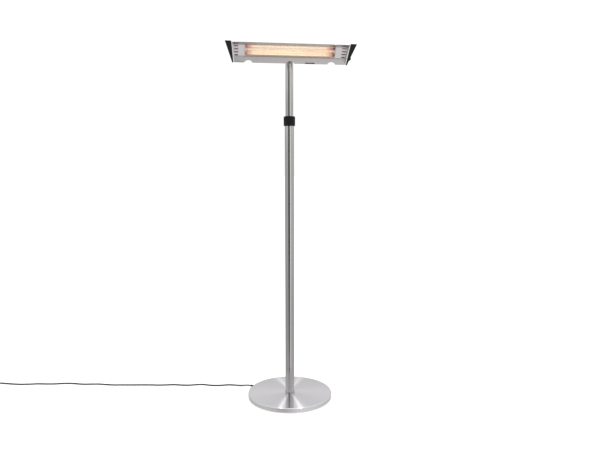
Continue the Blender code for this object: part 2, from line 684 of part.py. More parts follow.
def build_head_ends(face):
    path = offset(inner_path(), SHELL)
    cap_path = offset(inner_path(), SHELL + CAP_MARGIN)
    front = -LIP_OUT - CAP_MARGIN
    z_cap = cap_path[0][1]
    plate_outline = [(-LIP_OUT, LIP_HALF)] + path + [(-LIP_OUT, -LIP_HALF)]
    cap_outline = [(front, CAP_TOP)] + cap_path[1:] + [(front, -z_cap + 0.0005)]
    plate_start = HEAD_HALF_LENGTH + GAP
    cap_start = plate_start + END_PLATE + GAP
    for side, sign in (("left", -1), ("right", 1)):
        ends = ((plate_start, HEAD_RAKE), (plate_start + END_PLATE, HEAD_RAKE))
        plate = solid("end_plate_" + side, raked(plate_outline, ends, sign), "aluminium", face)
        ends = ((cap_start, HEAD_RAKE), (CAP_OUTER, CAP_RAKE))
        cap = solid("end_cap_" + side, raked(cap_outline, ends, sign), "black_plastic", face)
        for number, (y, z) in enumerate(CAP_SCREWS, 1):
            seat = cap_start + HEAD_RAKE * z + 0.0055
            frame = along((sign, 0, 0), (0, y, z))
            shank = [(0, 0.27), (0.0023, 0.27), (0.0023, seat), (0.0049, seat), (0.0049, 0.34),
                     (0, 0.34)]
            combine(cap, spun(shank, 16), parent=face, matrix=frame)
            hole = [(0, 0.27), (0.0023, 0.27), (0.0023, 0.31), (0, 0.31)]
            combine(plate, spun(hole, 16), parent=face, matrix=frame)
            base = seat + GAP
            screw = [(0, 0.2800), (0.0020, 0.2800), (0.0020, base), (0.0044, base),
                     (0.0038, base + 0.0026), (0, base + 0.0026)]
            solid(f"cap_screw_{side}_{number}", spun(screw, 16), "zinc_steel", face, frame)
        if side == "right":
            build_power_control(face, cap)


def raked(outline, ends, sign):
    """A prism between two raked ends, mirrored to the left where sign is -1."""
    (low, lean_low), (high, lean_high) = ends
    shape = prism(outline, sign * low, sign * high, sign * lean_low, sign * lean_high)
    return shape


def build_power_control(face, cap):
    """A rotary switch in the right cap's pocket, with its knob on the cap's raked side."""
    outward = Vector((1, 0, -CAP_RAKE)).normalized()
    frame = along(outward, (CAP_OUTER + CAP_RAKE * KNOB_Z, KNOB_Y, KNOB_Z))
    hole = 0.0031
    pocket = [(0, -0.020), (0.0088, -0.020), (0.0088, -0.0030), (hole, -0.0030), (hole, 0.01),
              (0, 0.01)]
    combine(cap, spun(pocket, 20), parent=face, matrix=frame)
    switch = [(0, -0.0092), (0.0084, -0.0092), (0.0084, -0.0034), (0.0028, -0.0034),
              (0.0028, 0.0060), (0, 0.0060)]
    solid("rotary_switch", spun(switch, 20), "white_plastic", face, frame)
    knob = [(0, 0.0066), (hole, 0.0066), (hole, 0.0004), (KNOB_RADIUS, 0.0004),
            (KNOB_RADIUS, 0.0022), (KNOB_RADIUS - 0.0008, 0.0024, fluted),
            (KNOB_RADIUS - 0.0014, 0.0069, fluted), (KNOB_RADIUS - 0.0030, 0.0084), (0, 0.0084)]
    solid("power_knob", spun(knob, 24), "black_plastic", face, frame)


def build_window(face):
    """A strip of smoked plastic on the lower lip's inner side."""
    slope = sqrt(0.5)
    wing = LIP_OUT / slope
    corners = [(wing - 0.0062, GAP), (wing - 0.0010, GAP), (wing - 0.0010, 0.0015),
               (wing - 0.0062, 0.0015)]
    outline = [
        (-slope * far - slope * up, -FACE_HALF - slope * far + slope * up) for far, up in corners
    ]
    solid("status_window", prism(outline, 0.0760, 0.1245), "smoked_plastic", face)


def build_head_lead(mast):
    """The lead up the upper tube, through the plug and yoke, and into the head's gland."""
    to_world = Matrix.Translation(TILT_AXIS) @ Matrix.Rotation(FACE_TILT, 4, "X")
    gland = to_world @ Matrix.Translation((0, -PIVOT_BACK, PIVOT_DROP)) @ gland_frame()
    mouth, inner_end = gland @ Vector((0, 0, 0.0090)), gland @ Vector((0, 0, -0.0058))
    before = gland @ Vector((0, 0, 0.0140))
    straight = [Vector((0, 0, height)) for height in (1.0745, 1.3, 1.55)]
    top = UPPER_TUBE_TOP
    points = [Vector((0, 0, top - 0.0825)), Vector((0, -0.0045, top - 0.0475))]
    points += [Vector((0, HEAD_LEAD_Y, top + rise)) for rise in (-0.0345, -0.0125, 0.0055, 0.0155)]
    bend = smooth_path(points + [before], 0.008)
    tube_along("head_lead", straight + bend + [mouth, inner_end], HEAD_LEAD_RADIUS, "rubber", mast)


# Mains lead


def build_mains_lead():
    resting = CORD_RADIUS + FLOOR_CLEARANCE
    start = at_exit_angle(BASE_RADIUS + STRAIN_RELIEF_LENGTH + GAP, CORD_EXIT_HEIGHT)
    heights = [0.0112, 0.0078, 0.0052]
    route = [start]
    for index, (x, y) in enumerate(CORD_ROUTE):
        height = heights[index] if index < len(heights) else resting
        route.append(Vector((x, y, height)))
    path = smooth_path(route, 0.0225)
    tube_along("mains_cord", path, CORD_RADIUS, "rubber")

    x, y = COIL_CENTRE
    thick = 2 * CORD_RADIUS
    top_turn = resting + thick * sqrt(3) / 2
    section = ring(COIL_RADIUS - thick, COIL_RADIUS + thick, 0.0002, top_turn + CORD_RADIUS)
    solid("cord_coil", spun(section, 36), "rubber", matrix=Matrix.Translation((x, y, 0)))

    plug_height = 0.013
    side = x - COIL_RADIUS
    leaves = y - sqrt((COIL_RADIUS + 1.5 * thick + 2 * GAP) ** 2 - COIL_RADIUS**2)
    plug_start = y - PLUG_BACK
    path = smooth_path([
        Vector((side, leaves, top_turn)), Vector((side, leaves - 0.012, top_turn + 0.0004)),
        Vector((side, plug_start + GAP, plug_height)),
    ], 0.008)
    tube_along("plug_lead", path, CORD_RADIUS, "rubber")
    build_plug(Vector((side, plug_start, plug_height)))


def build_plug(start):
    """A plain two-pin plug that lies on the floor and points along -Y."""
    outline = [
        (0, 0), (0.0055, 0), (0.0075, 0.030), (0.0130, 0.036), (0.0180, 0.044), (0.0180, 0.066),
        (0.0165, 0.070), (0, 0.070),
    ]
    shape = spun(outline, 24)
    flatten = Matrix.Scale(0.70, 4, (0, 1, 0))
    bmesh.ops.transform(shape, matrix=flatten, verts=shape.verts)
    frame = Matrix.Translation(start) @ Matrix.Rotation(radians(90), 4, "X")
    solid("plug_body", shape, "black_plastic", matrix=frame)
    pin = [(0, 0.0703), (0.0024, 0.0703), (0.0024, 0.0880), (0.0014, 0.0893), (0, 0.0893)]
    for side, x in (("left", -0.0095), ("right", 0.0095)):
        solid("plug_pin_" + side, spun(pin, 12), "zinc_steel",
              matrix=frame @ Matrix.Translation((x, 0, 0)))


def main():
    clear_scene()
    mast = empty("mast_axis", (0, 0, 0))
    head = empty("head_axis", TILT_AXIS, FACE_TILT, mast)
    face = empty("head_face", (0, -PIVOT_BACK, PIVOT_DROP), parent=head)
    build_base()
    build_pole_foot()
    build_collar()
    build_mast(mast)
    build_tilt_hardware(mast)
    build_housing(face)
    build_gland(face)
    build_bracket(face)
    build_chamber(face)
    build_end_bays(face)
    build_head_ends(face)
    build_window(face)
    build_head_lead(mast)
    build_mains_lead()


main()
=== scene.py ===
"""The looks of the free-standing patio heater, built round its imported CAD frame.

Metres, +Z up. Pieces of the head are made in the head's own frame: x along the head, y straight
back from the face that holds the guard, z up along that face.
"""

import json
from math import cos, hypot, pi, radians, sin, sqrt, tan

import bmesh
import bpy
from mathutils import Matrix, Vector

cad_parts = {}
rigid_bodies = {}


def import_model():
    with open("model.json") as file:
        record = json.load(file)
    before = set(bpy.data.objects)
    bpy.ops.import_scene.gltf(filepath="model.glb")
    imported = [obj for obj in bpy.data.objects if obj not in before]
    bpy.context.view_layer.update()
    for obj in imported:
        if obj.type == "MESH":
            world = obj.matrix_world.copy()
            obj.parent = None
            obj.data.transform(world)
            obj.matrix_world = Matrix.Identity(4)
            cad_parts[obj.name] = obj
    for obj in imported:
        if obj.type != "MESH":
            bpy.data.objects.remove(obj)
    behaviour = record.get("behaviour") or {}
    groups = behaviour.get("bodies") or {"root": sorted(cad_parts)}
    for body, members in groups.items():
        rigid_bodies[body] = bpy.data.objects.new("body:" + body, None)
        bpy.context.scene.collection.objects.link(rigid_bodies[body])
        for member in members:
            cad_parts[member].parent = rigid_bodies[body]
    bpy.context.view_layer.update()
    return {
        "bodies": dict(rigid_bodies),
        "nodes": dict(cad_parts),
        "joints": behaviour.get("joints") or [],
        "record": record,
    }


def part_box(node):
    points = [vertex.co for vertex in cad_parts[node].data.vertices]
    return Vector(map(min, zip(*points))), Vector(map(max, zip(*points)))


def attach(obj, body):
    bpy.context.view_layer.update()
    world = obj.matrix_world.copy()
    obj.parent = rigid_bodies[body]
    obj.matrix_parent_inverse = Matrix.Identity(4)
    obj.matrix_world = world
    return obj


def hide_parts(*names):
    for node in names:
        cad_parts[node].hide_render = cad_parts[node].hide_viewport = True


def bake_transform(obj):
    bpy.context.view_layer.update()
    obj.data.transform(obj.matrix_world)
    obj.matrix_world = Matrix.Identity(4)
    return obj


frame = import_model()

# The frame's driving sizes
JOINTS = {joint["name"]: joint for joint in frame["joints"]}
TILT_AXIS = Vector(JOINTS["head_tilt"]["pos_m"])
FACE_TILT = radians(36)
PIVOT_BACK = 0.052
PIVOT_DROP = 0.039
FACE = (Matrix.Translation(TILT_AXIS) @ Matrix.Rotation(FACE_TILT, 4, "X")
        @ Matrix.Translation((0, -PIVOT_BACK, PIVOT_DROP)))
GAP = 0.0003
SHARP_EDGE = radians(32)
SIDES = (("left", -1), ("right", 1))

BASE_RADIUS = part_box("base_cover")[1].x
COVER_FOOT, BASE_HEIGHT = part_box("base_cover")[0].z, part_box("base_cover")[1].z
BASE_RIM = 0.006
COVER_SHEET = 0.0015
LOWER_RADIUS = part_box("lower_tube")[1].x
LOWER_BOTTOM, LOWER_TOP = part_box("lower_tube")[0].z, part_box("lower_tube")[1].z
UPPER_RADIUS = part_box("upper_tube")[1].x
UPPER_BOTTOM, UPPER_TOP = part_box("upper_tube")[0].z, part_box("upper_tube")[1].z
TUBE_WALL = 0.0015

SHELL = 0.002
FACE_HALF = 0.0304
LIP_HALF = 0.0535
LIP_OUT = 0.0231
BODY_DEPTH = 0.043
REAR_HALF = 0.0205
HEAD_HALF_LENGTH = 0.2868
HEAD_RAKE = 0.095
END_PLATE = 0.0050
CAP_MARGIN = 0.002
CAP_TOP = 0.0638
CAP_OUTER = 0.3095
CAP_RAKE = 0.319
NOTCH_X = (-0.2115, 0.0, 0.2115)
NOTCH_RADIUS = 0.0235
NOTCH_OVER_LIP = 0.0105
CHAMBER_HALF_LENGTH = 0.2290
LAMP_Y = 0.016
LAMP_RADIUS = 0.007
LAMP_HALF_LENGTH = 0.2222
REFLECTOR_DEPTH = 0.032
REFLECTOR_HALF = 0.0285
# How far along the reflector its painted lamp glow and painted end shade reach
PAINTED_GLOW_REACH = 0.25
LAMP_END_SIZE = (0.0255, 0.013, 0.017)
CAP_SCREWS = ((0.020, 0.012), (0.036, -0.008))
KNOB_Y, KNOB_Z = -0.0095, -0.0255
KNOB_RADIUS = 0.010
GLAND_Y = 0.030

COLLAR_RADIUS = 0.0300
COLLAR_BOTTOM = 1.4520
COLLAR_SPLIT = 1.4688
COLLAR_TOP = 1.5016
NECK_RADIUS = 0.0262
YOKE_HALF_WIDTH = 0.0265
YOKE_SHEET = 0.003
YOKE_SCREW_X = 0.0125
EAR_RADIUS = 0.0105
TILT_BOLT_RADIUS = 0.004
BRACKET_SHEET = 0.0025
BRACKET_SCREW_X = 0.0285
HEAD_LEAD_Y = -0.0055
HEAD_LEAD_FOOT = 1.0745
HEAD_LEAD_RADIUS = 0.0035

CORD_RADIUS = 0.00375
CORD_EXIT_ANGLE = radians(145)
CORD_EXIT_HEIGHT = 0.013
STRAIN_RELIEF_LENGTH = 0.026
FLOOR_CLEARANCE = 0.0003
COIL_CENTRE = (-1.690, 0.3585)
COIL_RADIUS = 0.045
PLUG_BACK = 0.070
PLUG_HEIGHT = 0.013
PLUG_FLATNESS = 0.70
PLUG_PIN_X = 0.0095
COIL_TURNS = 3.25
CORD_ROUTE = [
    (-0.222, 0.155), (-0.250, 0.165), (-0.276, 0.177), (-0.300, 0.188), (-0.330, 0.194),
    (-0.365, 0.193), (-0.400, 0.195), (-0.430, 0.202), (-0.455, 0.212), (-0.480, 0.221),
    (-0.510, 0.222), (-0.545, 0.220), (-0.580, 0.225), (-0.615, 0.234), (-0.645, 0.241),
    (-0.680, 0.242), (-0.725, 0.246), (-0.775, 0.256), (-0.825, 0.263), (-0.880, 0.270),
    (-0.935, 0.278), (-0.985, 0.285), (-1.025, 0.297), (-1.065, 0.309), (-1.105, 0.314),
    (-1.150, 0.319), (-1.190, 0.331), (-1.230, 0.343), (-1.275, 0.347), (-1.320, 0.347),
    (-1.365, 0.353), (-1.410, 0.361), (-1.460, 0.363), (-1.510, 0.368), (-1.560, 0.381),
    (-1.605, 0.396), (-1.640, 0.405),
]


# Camera, stage and light


def make_camera():
    data = bpy.data.cameras.new("camera")
    data.sensor_width = 36.0
    data.lens = 34.5
    camera = bpy.data.objects.new("camera", data)
    camera.location = (-0.3658, -2.9983, 1.253)
    camera.rotation_euler = (radians(84), 0.0, radians(-8))
    bpy.context.scene.collection.objects.link(camera)
    bpy.context.scene.camera = camera


class Nodes:
    """Adds shader nodes to a material or world, each linked to what it is given."""

    def __init__(self, owner):
        owner.use_nodes = True
        self.tree = owner.node_tree

    def add(self, kind, settings=None, **inputs):
        node = self.tree.nodes.new("ShaderNode" + kind)
        for name, value in (settings or {}).items():
            setattr(node, name, value)
        for name, value in inputs.items():
            self.give(node, name.replace("_", " "), value)
        return node

    def give(self, node, name, value):
        socket = node.inputs[int(name[5:])] if name.startswith("input") else node.inputs[name]
        if isinstance(value, bpy.types.NodeSocket):
            self.tree.links.new(value, socket)
        else:
            socket.default_value = value

    def math(self, operation, first, second=0.0, third=0.0):
        node = self.add("Math", {"operation": operation}, input0=first, input1=second,
                        input2=third)
        return node.outputs[0]

    def ramp(self, factor, stops):
        node = self.add("ValToRGB", Fac=factor)
        ramp = node.color_ramp
        while len(ramp.elements) < len(stops):
            ramp.elements.new(0.5)
        for element, (position, value) in zip(ramp.elements, stops):
            element.position = position
            colour = value if isinstance(value, tuple) else (value, value, value)
            element.color = (*colour, 1.0)
        return node.outputs[0]


# How bright the studio is round the heater, by degrees from -Y towards +X, in bands from below
# to above. The dark gap in the drop, level and raised bands gives the pole its dark stripe.
STUDIO_LOW = (
    (-180, 0.75), (-150, 0.85), (-110, 1.05), (-45, 1.05), (-35, 0.90), (10, 0.90), (30, 1.05),
    (110, 1.05), (150, 0.85), (180, 0.75),
)
STUDIO_DROP = (
    (-180, 0.72), (-150, 0.66), (-120, 0.42), (-60, 0.42), (-38, 0.44), (-36, 0.14), (2, 0.14),
    (4, 0.85), (25, 0.82), (31, 0.52), (120, 0.48), (150, 0.66), (180, 0.72),
)
STUDIO_LEVEL = (
    (-180, 0.50), (-100, 0.52), (-60, 0.54), (-38, 0.54), (-36, 0.02), (2, 0.02), (4, 1.05),
    (25, 1.00), (31, 0.62), (100, 0.60), (180, 0.50),
)
STUDIO_RAISED = (
    (-180, 1.00), (-70, 1.00), (-45, 0.60), (-38, 0.58), (-36, 0.03), (2, 0.03), (4, 1.00),
    (25, 1.00), (31, 0.66), (45, 0.66), (70, 1.00), (180, 1.00),
)
STUDIO_HIGH = ((-180, 1.00), (-70, 1.00), (-35, 0.78), (35, 0.78), (70, 1.00), (180, 1.00))
STUDIO_TOP = ((-180, 1.00), (180, 1.00))


def make_world():
    """A white studio, whose darker bands only show as stripes in the metal."""
    world = bpy.data.worlds.new("studio")
    bpy.context.scene.world = world
    nodes = Nodes(world)
    for node in list(nodes.tree.nodes):
        nodes.tree.nodes.remove(node)
    direction = nodes.add("TexCoord").outputs["Generated"]
    split = nodes.add("SeparateXYZ", Vector=direction).outputs
    forward = nodes.math("MULTIPLY", split["Y"], -1.0)
    turn = nodes.math("ARCTAN2", split["X"], forward)
    share = nodes.math("MULTIPLY_ADD", turn, 1 / (2 * pi), 0.5)
    rise = nodes.math("MULTIPLY_ADD", split["Z"], 0.5, 0.5)
    mixed = (1.0, 1.0, 1.0, 1.0)
    bands = (
        (STUDIO_LOW, None), (STUDIO_DROP, (-37, -32)), (STUDIO_LEVEL, (-18, -6)),
        (STUDIO_RAISED, (12, 18)), (STUDIO_HIGH, (25, 28)), (STUDIO_TOP, (35, 50)),
    )
    for table, limits in bands:
        around = nodes.ramp(share, [((angle + 180) / 360, value) for angle, value in table])
        if limits is None:
            mixed = around
            continue
        stops = [(0.5 + 0.5 * sin(radians(limit)), step) for step, limit in enumerate(limits)]
        layer = nodes.add("Mix", {"data_type": "RGBA"})
        nodes.give(layer, "input0", nodes.ramp(rise, stops))
        nodes.give(layer, "input6", mixed)
        nodes.give(layer, "input7", around)
        mixed = layer.outputs[2]
    seen = nodes.add("Background", Color=(1.0, 1.0, 1.0, 1.0), Strength=1.05)
    studio = nodes.add("Background", Color=mixed, Strength=1.0)
    path = nodes.add("LightPath").outputs["Is Camera Ray"]
    shader = nodes.add("MixShader", input0=path, input1=studio.outputs[0],
                       input2=seen.outputs[0])
    nodes.add("OutputWorld", Surface=shader.outputs[0])


def make_light(name, location, target, size, power, colour=(1, 1, 1)):
    data = bpy.data.lights.new(name, "AREA")
    data.shape = "RECTANGLE"
    data.size, data.size_y = size
    data.energy = power
    data.color = colour
    light = bpy.data.objects.new(name, data)
    light.location = location
    light.rotation_euler = (Vector(target) - Vector(location)).to_track_quat("-Z", "Y").to_euler()
    light.visible_camera = False
    bpy.context.scene.collection.objects.link(light)


def make_stage():
    """A pale floor with soft light from above, and two small lights for the base's streaks."""
    mesh = bpy.data.meshes.new("floor")
    far = 60.0
    mesh.from_pydata([(-far, -far, 0), (far, -far, 0), (far, far, 0), (-far, far, 0)], [],
                     [(0, 1, 2, 3)])
    floor = bpy.data.objects.new("floor", mesh)
    bpy.context.scene.collection.objects.link(floor)
    material = bpy.data.materials.new("floor")
    nodes = Nodes(material)
    shader = nodes.tree.nodes["Principled BSDF"]
    nodes.give(shader, "Base Color", (0.86, 0.86, 0.86, 1.0))
    nodes.give(shader, "Roughness", 0.9)
    nodes.give(shader, "Emission Color", (1.0, 1.0, 1.0, 1.0))
    nodes.give(shader, "Emission Strength", 0.36)
    mesh.materials.append(material)
    floor.visible_glossy = False
    make_light("overhead", (0.4, -0.8, 4.2), (0, 0, 0.6), (3.0, 3.0), 20)
    make_light("streak_left", (-0.38, 1.57, 3.7), (0, 0, 0), (0.08, 0.08), 15)
    make_light("streak_right", (0.82, 1.40, 3.7), (0, 0, 0), (0.12, 0.12), 18,
               (0.95, 1.0, 0.96))


# Materials


def principled(name, colour, roughness, metallic=0.0, **inputs):
    material = bpy.data.materials.new(name)
    nodes = Nodes(material)
    shader = nodes.tree.nodes["Principled BSDF"]
    nodes.give(shader, "Base Color", (*colour, 1.0))
    nodes.give(shader, "Roughness", roughness)
    nodes.give(shader, "Metallic", metallic)
    for key, value in inputs.items():
        nodes.give(shader, key.replace("_", " "), value)
    material.diffuse_color = (*colour, 1.0)
    return material, nodes, shader


def vary(nodes, shader, pattern, colour, colour_swing, roughness, roughness_swing):
    """Colour and roughness that follow a pattern between 0 and 1."""
    low = tuple(max(0.0, c * (1 - colour_swing)) for c in colour)
    high = tuple(min(1.0, c * (1 + colour_swing)) for c in colour)
    nodes.give(shader, "Base Color", nodes.ramp(pattern, [(0.25, low), (0.75, high)]))
    rough = nodes.math("MULTIPLY_ADD", pattern, 2 * roughness_swing, roughness - roughness_swing)
    nodes.give(shader, "Roughness", rough)


def bump(nodes, shader, height, distance, strength):
    made = nodes.add("Bump", Height=height, Distance=distance, Strength=strength)
    nodes.give(shader, "Normal", made.outputs["Normal"])


def noise(nodes, vector, scale, detail, roughness=0.55):
    made = nodes.add("TexNoise", Vector=vector, Scale=scale, Detail=detail, Roughness=roughness)
    return made.outputs["Fac"]


def object_place(nodes):
    return nodes.add("TexCoord").outputs["Object"]


def round_z(nodes, across, around):
    """Coordinates that run round Z: fine across the brushing and stretched along it."""
    split = nodes.add("SeparateXYZ", Vector=object_place(nodes)).outputs
    x, y = split["X"], split["Y"]
    squares = nodes.math("ADD", nodes.math("MULTIPLY", x, x), nodes.math("MULTIPLY", y, y))
    radius = nodes.math("SQRT", squares)
    inverse = nodes.math("DIVIDE", around, nodes.math("MAXIMUM", radius, 0.001))
    vector = nodes.add(
        "CombineXYZ", X=nodes.math("MULTIPLY", x, inverse), Y=nodes.math("MULTIPLY", y, inverse),
        Z=nodes.math("MULTIPLY", nodes.math("ADD", radius, split["Z"]), across),
    )
    return vector.outputs[0]


def brushed_round(name, colour, roughness, grain):
    """Steel brushed in circles round the pole's axis."""
    material, nodes, shader = principled(name, colour, roughness, 1.0)
    nodes.give(shader, "Anisotropic", grain)
    nodes.give(shader, "Anisotropic Rotation", 0.25)
    tangent = nodes.add("Tangent", {"direction_type": "RADIAL", "axis": "Z"})
    nodes.give(shader, "Tangent", tangent.outputs[0])
    return material, nodes, shader


def circular_steel():
    """The base's stainless sheet, with deep circular brushing."""
    colour, roughness = (0.60, 0.585, 0.605), 0.22
    material, nodes, shader = brushed_round("circular_steel", colour, roughness, 1.0)
    lines = noise(nodes, round_z(nodes, 900.0, 1.1), 1.0, 2.0)
    cloud = noise(nodes, round_z(nodes, 60.0, 2.0), 1.0, 2.0)
    pattern = nodes.math("MULTIPLY_ADD", lines, 0.7, nodes.math("MULTIPLY", cloud, 0.3))
    vary(nodes, shader, pattern, colour, 0.05, roughness, 0.02)
    return material


def pole_steel():
    """Stainless tube with a fine satin finish round the tube."""
    colour, roughness = (0.61, 0.60, 0.59), 0.14
    material, nodes, shader = brushed_round("pole_steel", colour, roughness, 0.90)
    lines = noise(nodes, round_z(nodes, 1400.0, 1.5), 1.0, 2.0)
    vary(nodes, shader, lines, colour, 0.04, roughness, 0.02)
    return material


def stretched(nodes, scales):
    """Object coordinates times scales: a small one draws the grain out along that axis."""
    return nodes.add("Mapping", Vector=object_place(nodes), Scale=scales).outputs[0]


def long_grain(name, colour, roughness):
    """Anodised aluminium with its grain along the head."""
    material, nodes, shader = principled(name, colour, roughness, 1.0)
    grain = noise(nodes, stretched(nodes, (6.0, 900.0, 900.0)), 1.0, 3.0)
    cloud = noise(nodes, stretched(nodes, (3.0, 12.0, 12.0)), 1.0, 2.0)
    pattern = nodes.math("MULTIPLY_ADD", grain, 0.65, nodes.math("MULTIPLY", cloud, 0.35))
    vary(nodes, shader, pattern, colour, 0.05, roughness, 0.05)
    bump(nodes, shader, grain, 0.00002, 0.3)
    return material


def plain_metal(name, colour, roughness):
    """Plated or turned metal with a faint uneven sheen."""
    material, nodes, shader = principled(name, colour, roughness, 1.0)
    pattern = noise(nodes, object_place(nodes), 500.0, 3.0)
    vary(nodes, shader, pattern, colour, 0.06, roughness, 0.06)
    return material


def moulded(name, colour, roughness, grain=900.0, depth=0.00006, specular=0.5):
    """Moulded plastic with a fine sparked grain."""
    material, nodes, shader = principled(name, colour, roughness)
    nodes.give(shader, "Specular IOR Level", specular)
    height = noise(nodes, object_place(nodes), grain, 4.0, 0.65)
    vary(nodes, shader, height, colour, 0.12, roughness, 0.06)
    bump(nodes, shader, height, depth, 0.6)
    return material


def cast_iron():
    colour = (0.05, 0.05, 0.052)
    material, nodes, shader = principled("cast_iron", colour, 0.7, 0.3)
    height = noise(nodes, object_place(nodes), 260.0, 6.0, 0.7)
    vary(nodes, shader, height, colour, 0.25, 0.7, 0.1)
    bump(nodes, shader, height, 0.0004, 0.7)
    return material


def glowing(name, colour, strength):
    material, nodes, shader = principled(name, colour, 0.5)
    nodes.give(shader, "Emission Color", (*colour, 1.0))
    nodes.give(shader, "Emission Strength", strength)
    return material


def quartz():
    """Clear quartz, lit along its length by the element inside."""
    material, nodes, shader = principled("quartz", (1.0, 0.95, 0.88), 0.05)
    nodes.give(shader, "Transmission Weight", 0.9)
    nodes.give(shader, "IOR", 1.46)
    nodes.give(shader, "Emission Color", (1.0, 0.84, 0.66, 1.0))
    nodes.give(shader, "Emission Strength", 0.04)
    return material


def reflector_with_painted_glow():
    """Bright drawn aluminium with a painted warm lamp glow and painted shade at its ends."""
    colour = (0.90, 0.84, 0.75)
    material, nodes, shader = principled("mirror_aluminium", colour, 0.24, 1.0)
    streaks = noise(nodes, stretched(nodes, (420.0, 3.0, 3.0)), 1.0, 3.0)
    vary(nodes, shader, streaks, colour, 0.06, 0.24, 0.05)
    place = nodes.add("SeparateXYZ", Vector=object_place(nodes)).outputs
    near = nodes.math("MULTIPLY", nodes.math("ABSOLUTE", place["X"]), 1 / PAINTED_GLOW_REACH)
    # Painted light: an emission glow, warm over the middle and fading to dark red at the ends
    painted_glow = nodes.ramp(near, [(0.0, (1.0, 0.92, 0.77)), (0.74, (1.0, 0.88, 0.72)),
                             (0.84, (0.75, 0.42, 0.36)), (0.91, (0.30, 0.14, 0.13))])
    nodes.give(shader, "Emission Color", painted_glow)
    # Painted shade: the base colour darkens and reddens towards the ends
    painted_glow_and_shade = nodes.ramp(near, [(0.0, colour), (0.74, (0.90, 0.80, 0.70)),
                             (0.84, (0.74, 0.50, 0.44)), (0.91, (0.42, 0.27, 0.25))])
    nodes.give(shader, "Base Color", painted_glow_and_shade)
    # The painted glow's strength follows the grain streaks
    strength = nodes.math("MULTIPLY_ADD", streaks, 0.16, 0.21)
    nodes.give(shader, "Emission Strength", strength)
    return material


def make_materials():
    return {
        "circular_steel": circular_steel(),
        "satin_steel": plain_metal("satin_steel", (0.90, 0.89, 0.90), 0.50),
        "pole_steel": pole_steel(),
        "aluminium": long_grain("aluminium", (0.60, 0.575, 0.57), 0.30),
        # A brighter copy of the housing's aluminium for the real end flanges, standing in as a
        # painted highlight
        "painted_highlight_aluminium": long_grain("painted_highlight_aluminium", (0.80, 0.79, 0.79), 0.26),
        "panel_aluminium": long_grain("panel_aluminium", (0.66, 0.63, 0.635), 0.38),
        # Louvre blades: aluminium tinted pink and darkened as painted lamp glow and painted shade
        "painted_glow_aluminium": long_grain("painted_glow_aluminium", (0.66, 0.50, 0.54), 0.38),
        # The reflector carries a painted lamp glow and painted shade at its ends
        "mirror_aluminium": reflector_with_painted_glow(),
        "zinc_steel": plain_metal("zinc_steel", (0.56, 0.56, 0.55), 0.34),
        "cast_iron": cast_iron(),
        "black_plastic": moulded("black_plastic", (0.008, 0.0075, 0.008), 0.44, specular=0.22),
        "white_plastic": moulded("white_plastic", (0.75, 0.74, 0.70), 0.45),
        "smoked_plastic": moulded("smoked_plastic", (0.012, 0.010, 0.010), 0.12, 90.0, 0.00001),
        "rubber": moulded("rubber", (0.010, 0.010, 0.0105), 0.60, 600.0, 0.00004, 0.25),
        "ceramic": moulded("ceramic", (0.80, 0.76, 0.68), 0.65, 400.0, 0.00008),
        "quartz": quartz(),
        "element": glowing("element", (1.0, 0.74, 0.50), 0.55),
        "white_mark": moulded("white_mark", (0.70, 0.70, 0.68), 0.40),
        "wire": plain_metal("wire", (0.70, 0.66, 0.62), 0.28),
        # The guard's rail: steel darkened and warmed as painted shade and painted lamp glow
        "painted_shade_glow_steel": plain_metal("painted_shade_glow_steel", (0.47, 0.37, 0.30), 0.34),
    }


def dress_cad_nodes():
    """Every CAD node gets its slot's look, and those that stay in view get broken edges."""
    for row in frame["record"]["subparts"]:
        node = frame["nodes"][row["node"]]
        slot = row["material_slot"]
        dressed(node, "pole_steel" if slot == "brushed_steel" else slot)
    for name in ("head_bracket", "friction_washer_left", "friction_washer_right", "status_window",
                 "foot_ring", "bottom_plate", "bulkhead_left", "bulkhead_right"):
        soften(frame["nodes"][name], 0.0004)


# Modelling tools


def shaped(name, shape, look, matrix=None):
    """A piece from a bmesh, in its place and with its material."""
    bmesh.ops.recalc_face_normals(shape, faces=shape.faces)
    if matrix is not None:
        moved(shape, matrix)
    piece = as_object(name, shape)
    dressed(piece, look)
    return piece


def finished(name, node, shape, look, body, matrix=None):
    """A shaped piece that rides on its body, and stands for a CAD node unless that is None."""
    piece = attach(shaped(name, shape, look, matrix), body)
    if node:
        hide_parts(node)
    return piece


def moved(shape, matrix):
    bmesh.ops.transform(shape, matrix=matrix, verts=shape.verts)
    return shape


def as_object(name, shape):
    mesh = bpy.data.meshes.new(name)
    shape.to_mesh(mesh)
    shape.free()
    made = bpy.data.objects.new(name, mesh)
    bpy.context.scene.collection.objects.link(made)
    return made


def dressed(piece, look):
    """One look all over, with smooth round faces between sharp edges."""
    piece.data.materials.clear()
    piece.data.materials.append(LOOKS[look])
    piece.data.shade_smooth()
    piece.data.set_sharp_from_angle(angle=SHARP_EDGE)


def bridge(shape, ring, other):
    """A band of four-sided faces between two closed rings with as many points."""
    for corners in zip(ring, ring[1:] + ring[:1], other[1:] + other[:1], other):
        shape.faces.new(corners)


def filleted(points, radii, steps):
    """The outline with each corner rounded to its radius; radii is one number or one a corner."""
    made = []
    for index, point in enumerate(points):
        radius = radii[index] if isinstance(radii, (list, tuple)) else radii
        if radius <= 0:
            made.append(tuple(point))
            continue
        corner = Vector(point)
        before = (Vector(points[index - 1]) - corner).normalized()
        after = (Vector(points[(index + 1) % len(points)]) - corner).normalized()
        half = before.angle(after) / 2
        if half > radians(89.5):
            made.append(tuple(point))
            continue
        reach = radius / tan(half)
        start, end = corner + before * reach, corner + after * reach
        middle = corner + (before + after).normalized() * (radius / sin(half))
        first, last = start - middle, end - middle
        sweep = first.angle(last)
        for step in range(steps + 1):
            share = step / steps
            spread = (sin((1 - share) * sweep) * first + sin(share * sweep) * last) / sin(sweep)
            made.append(tuple(middle + spread))
    return made


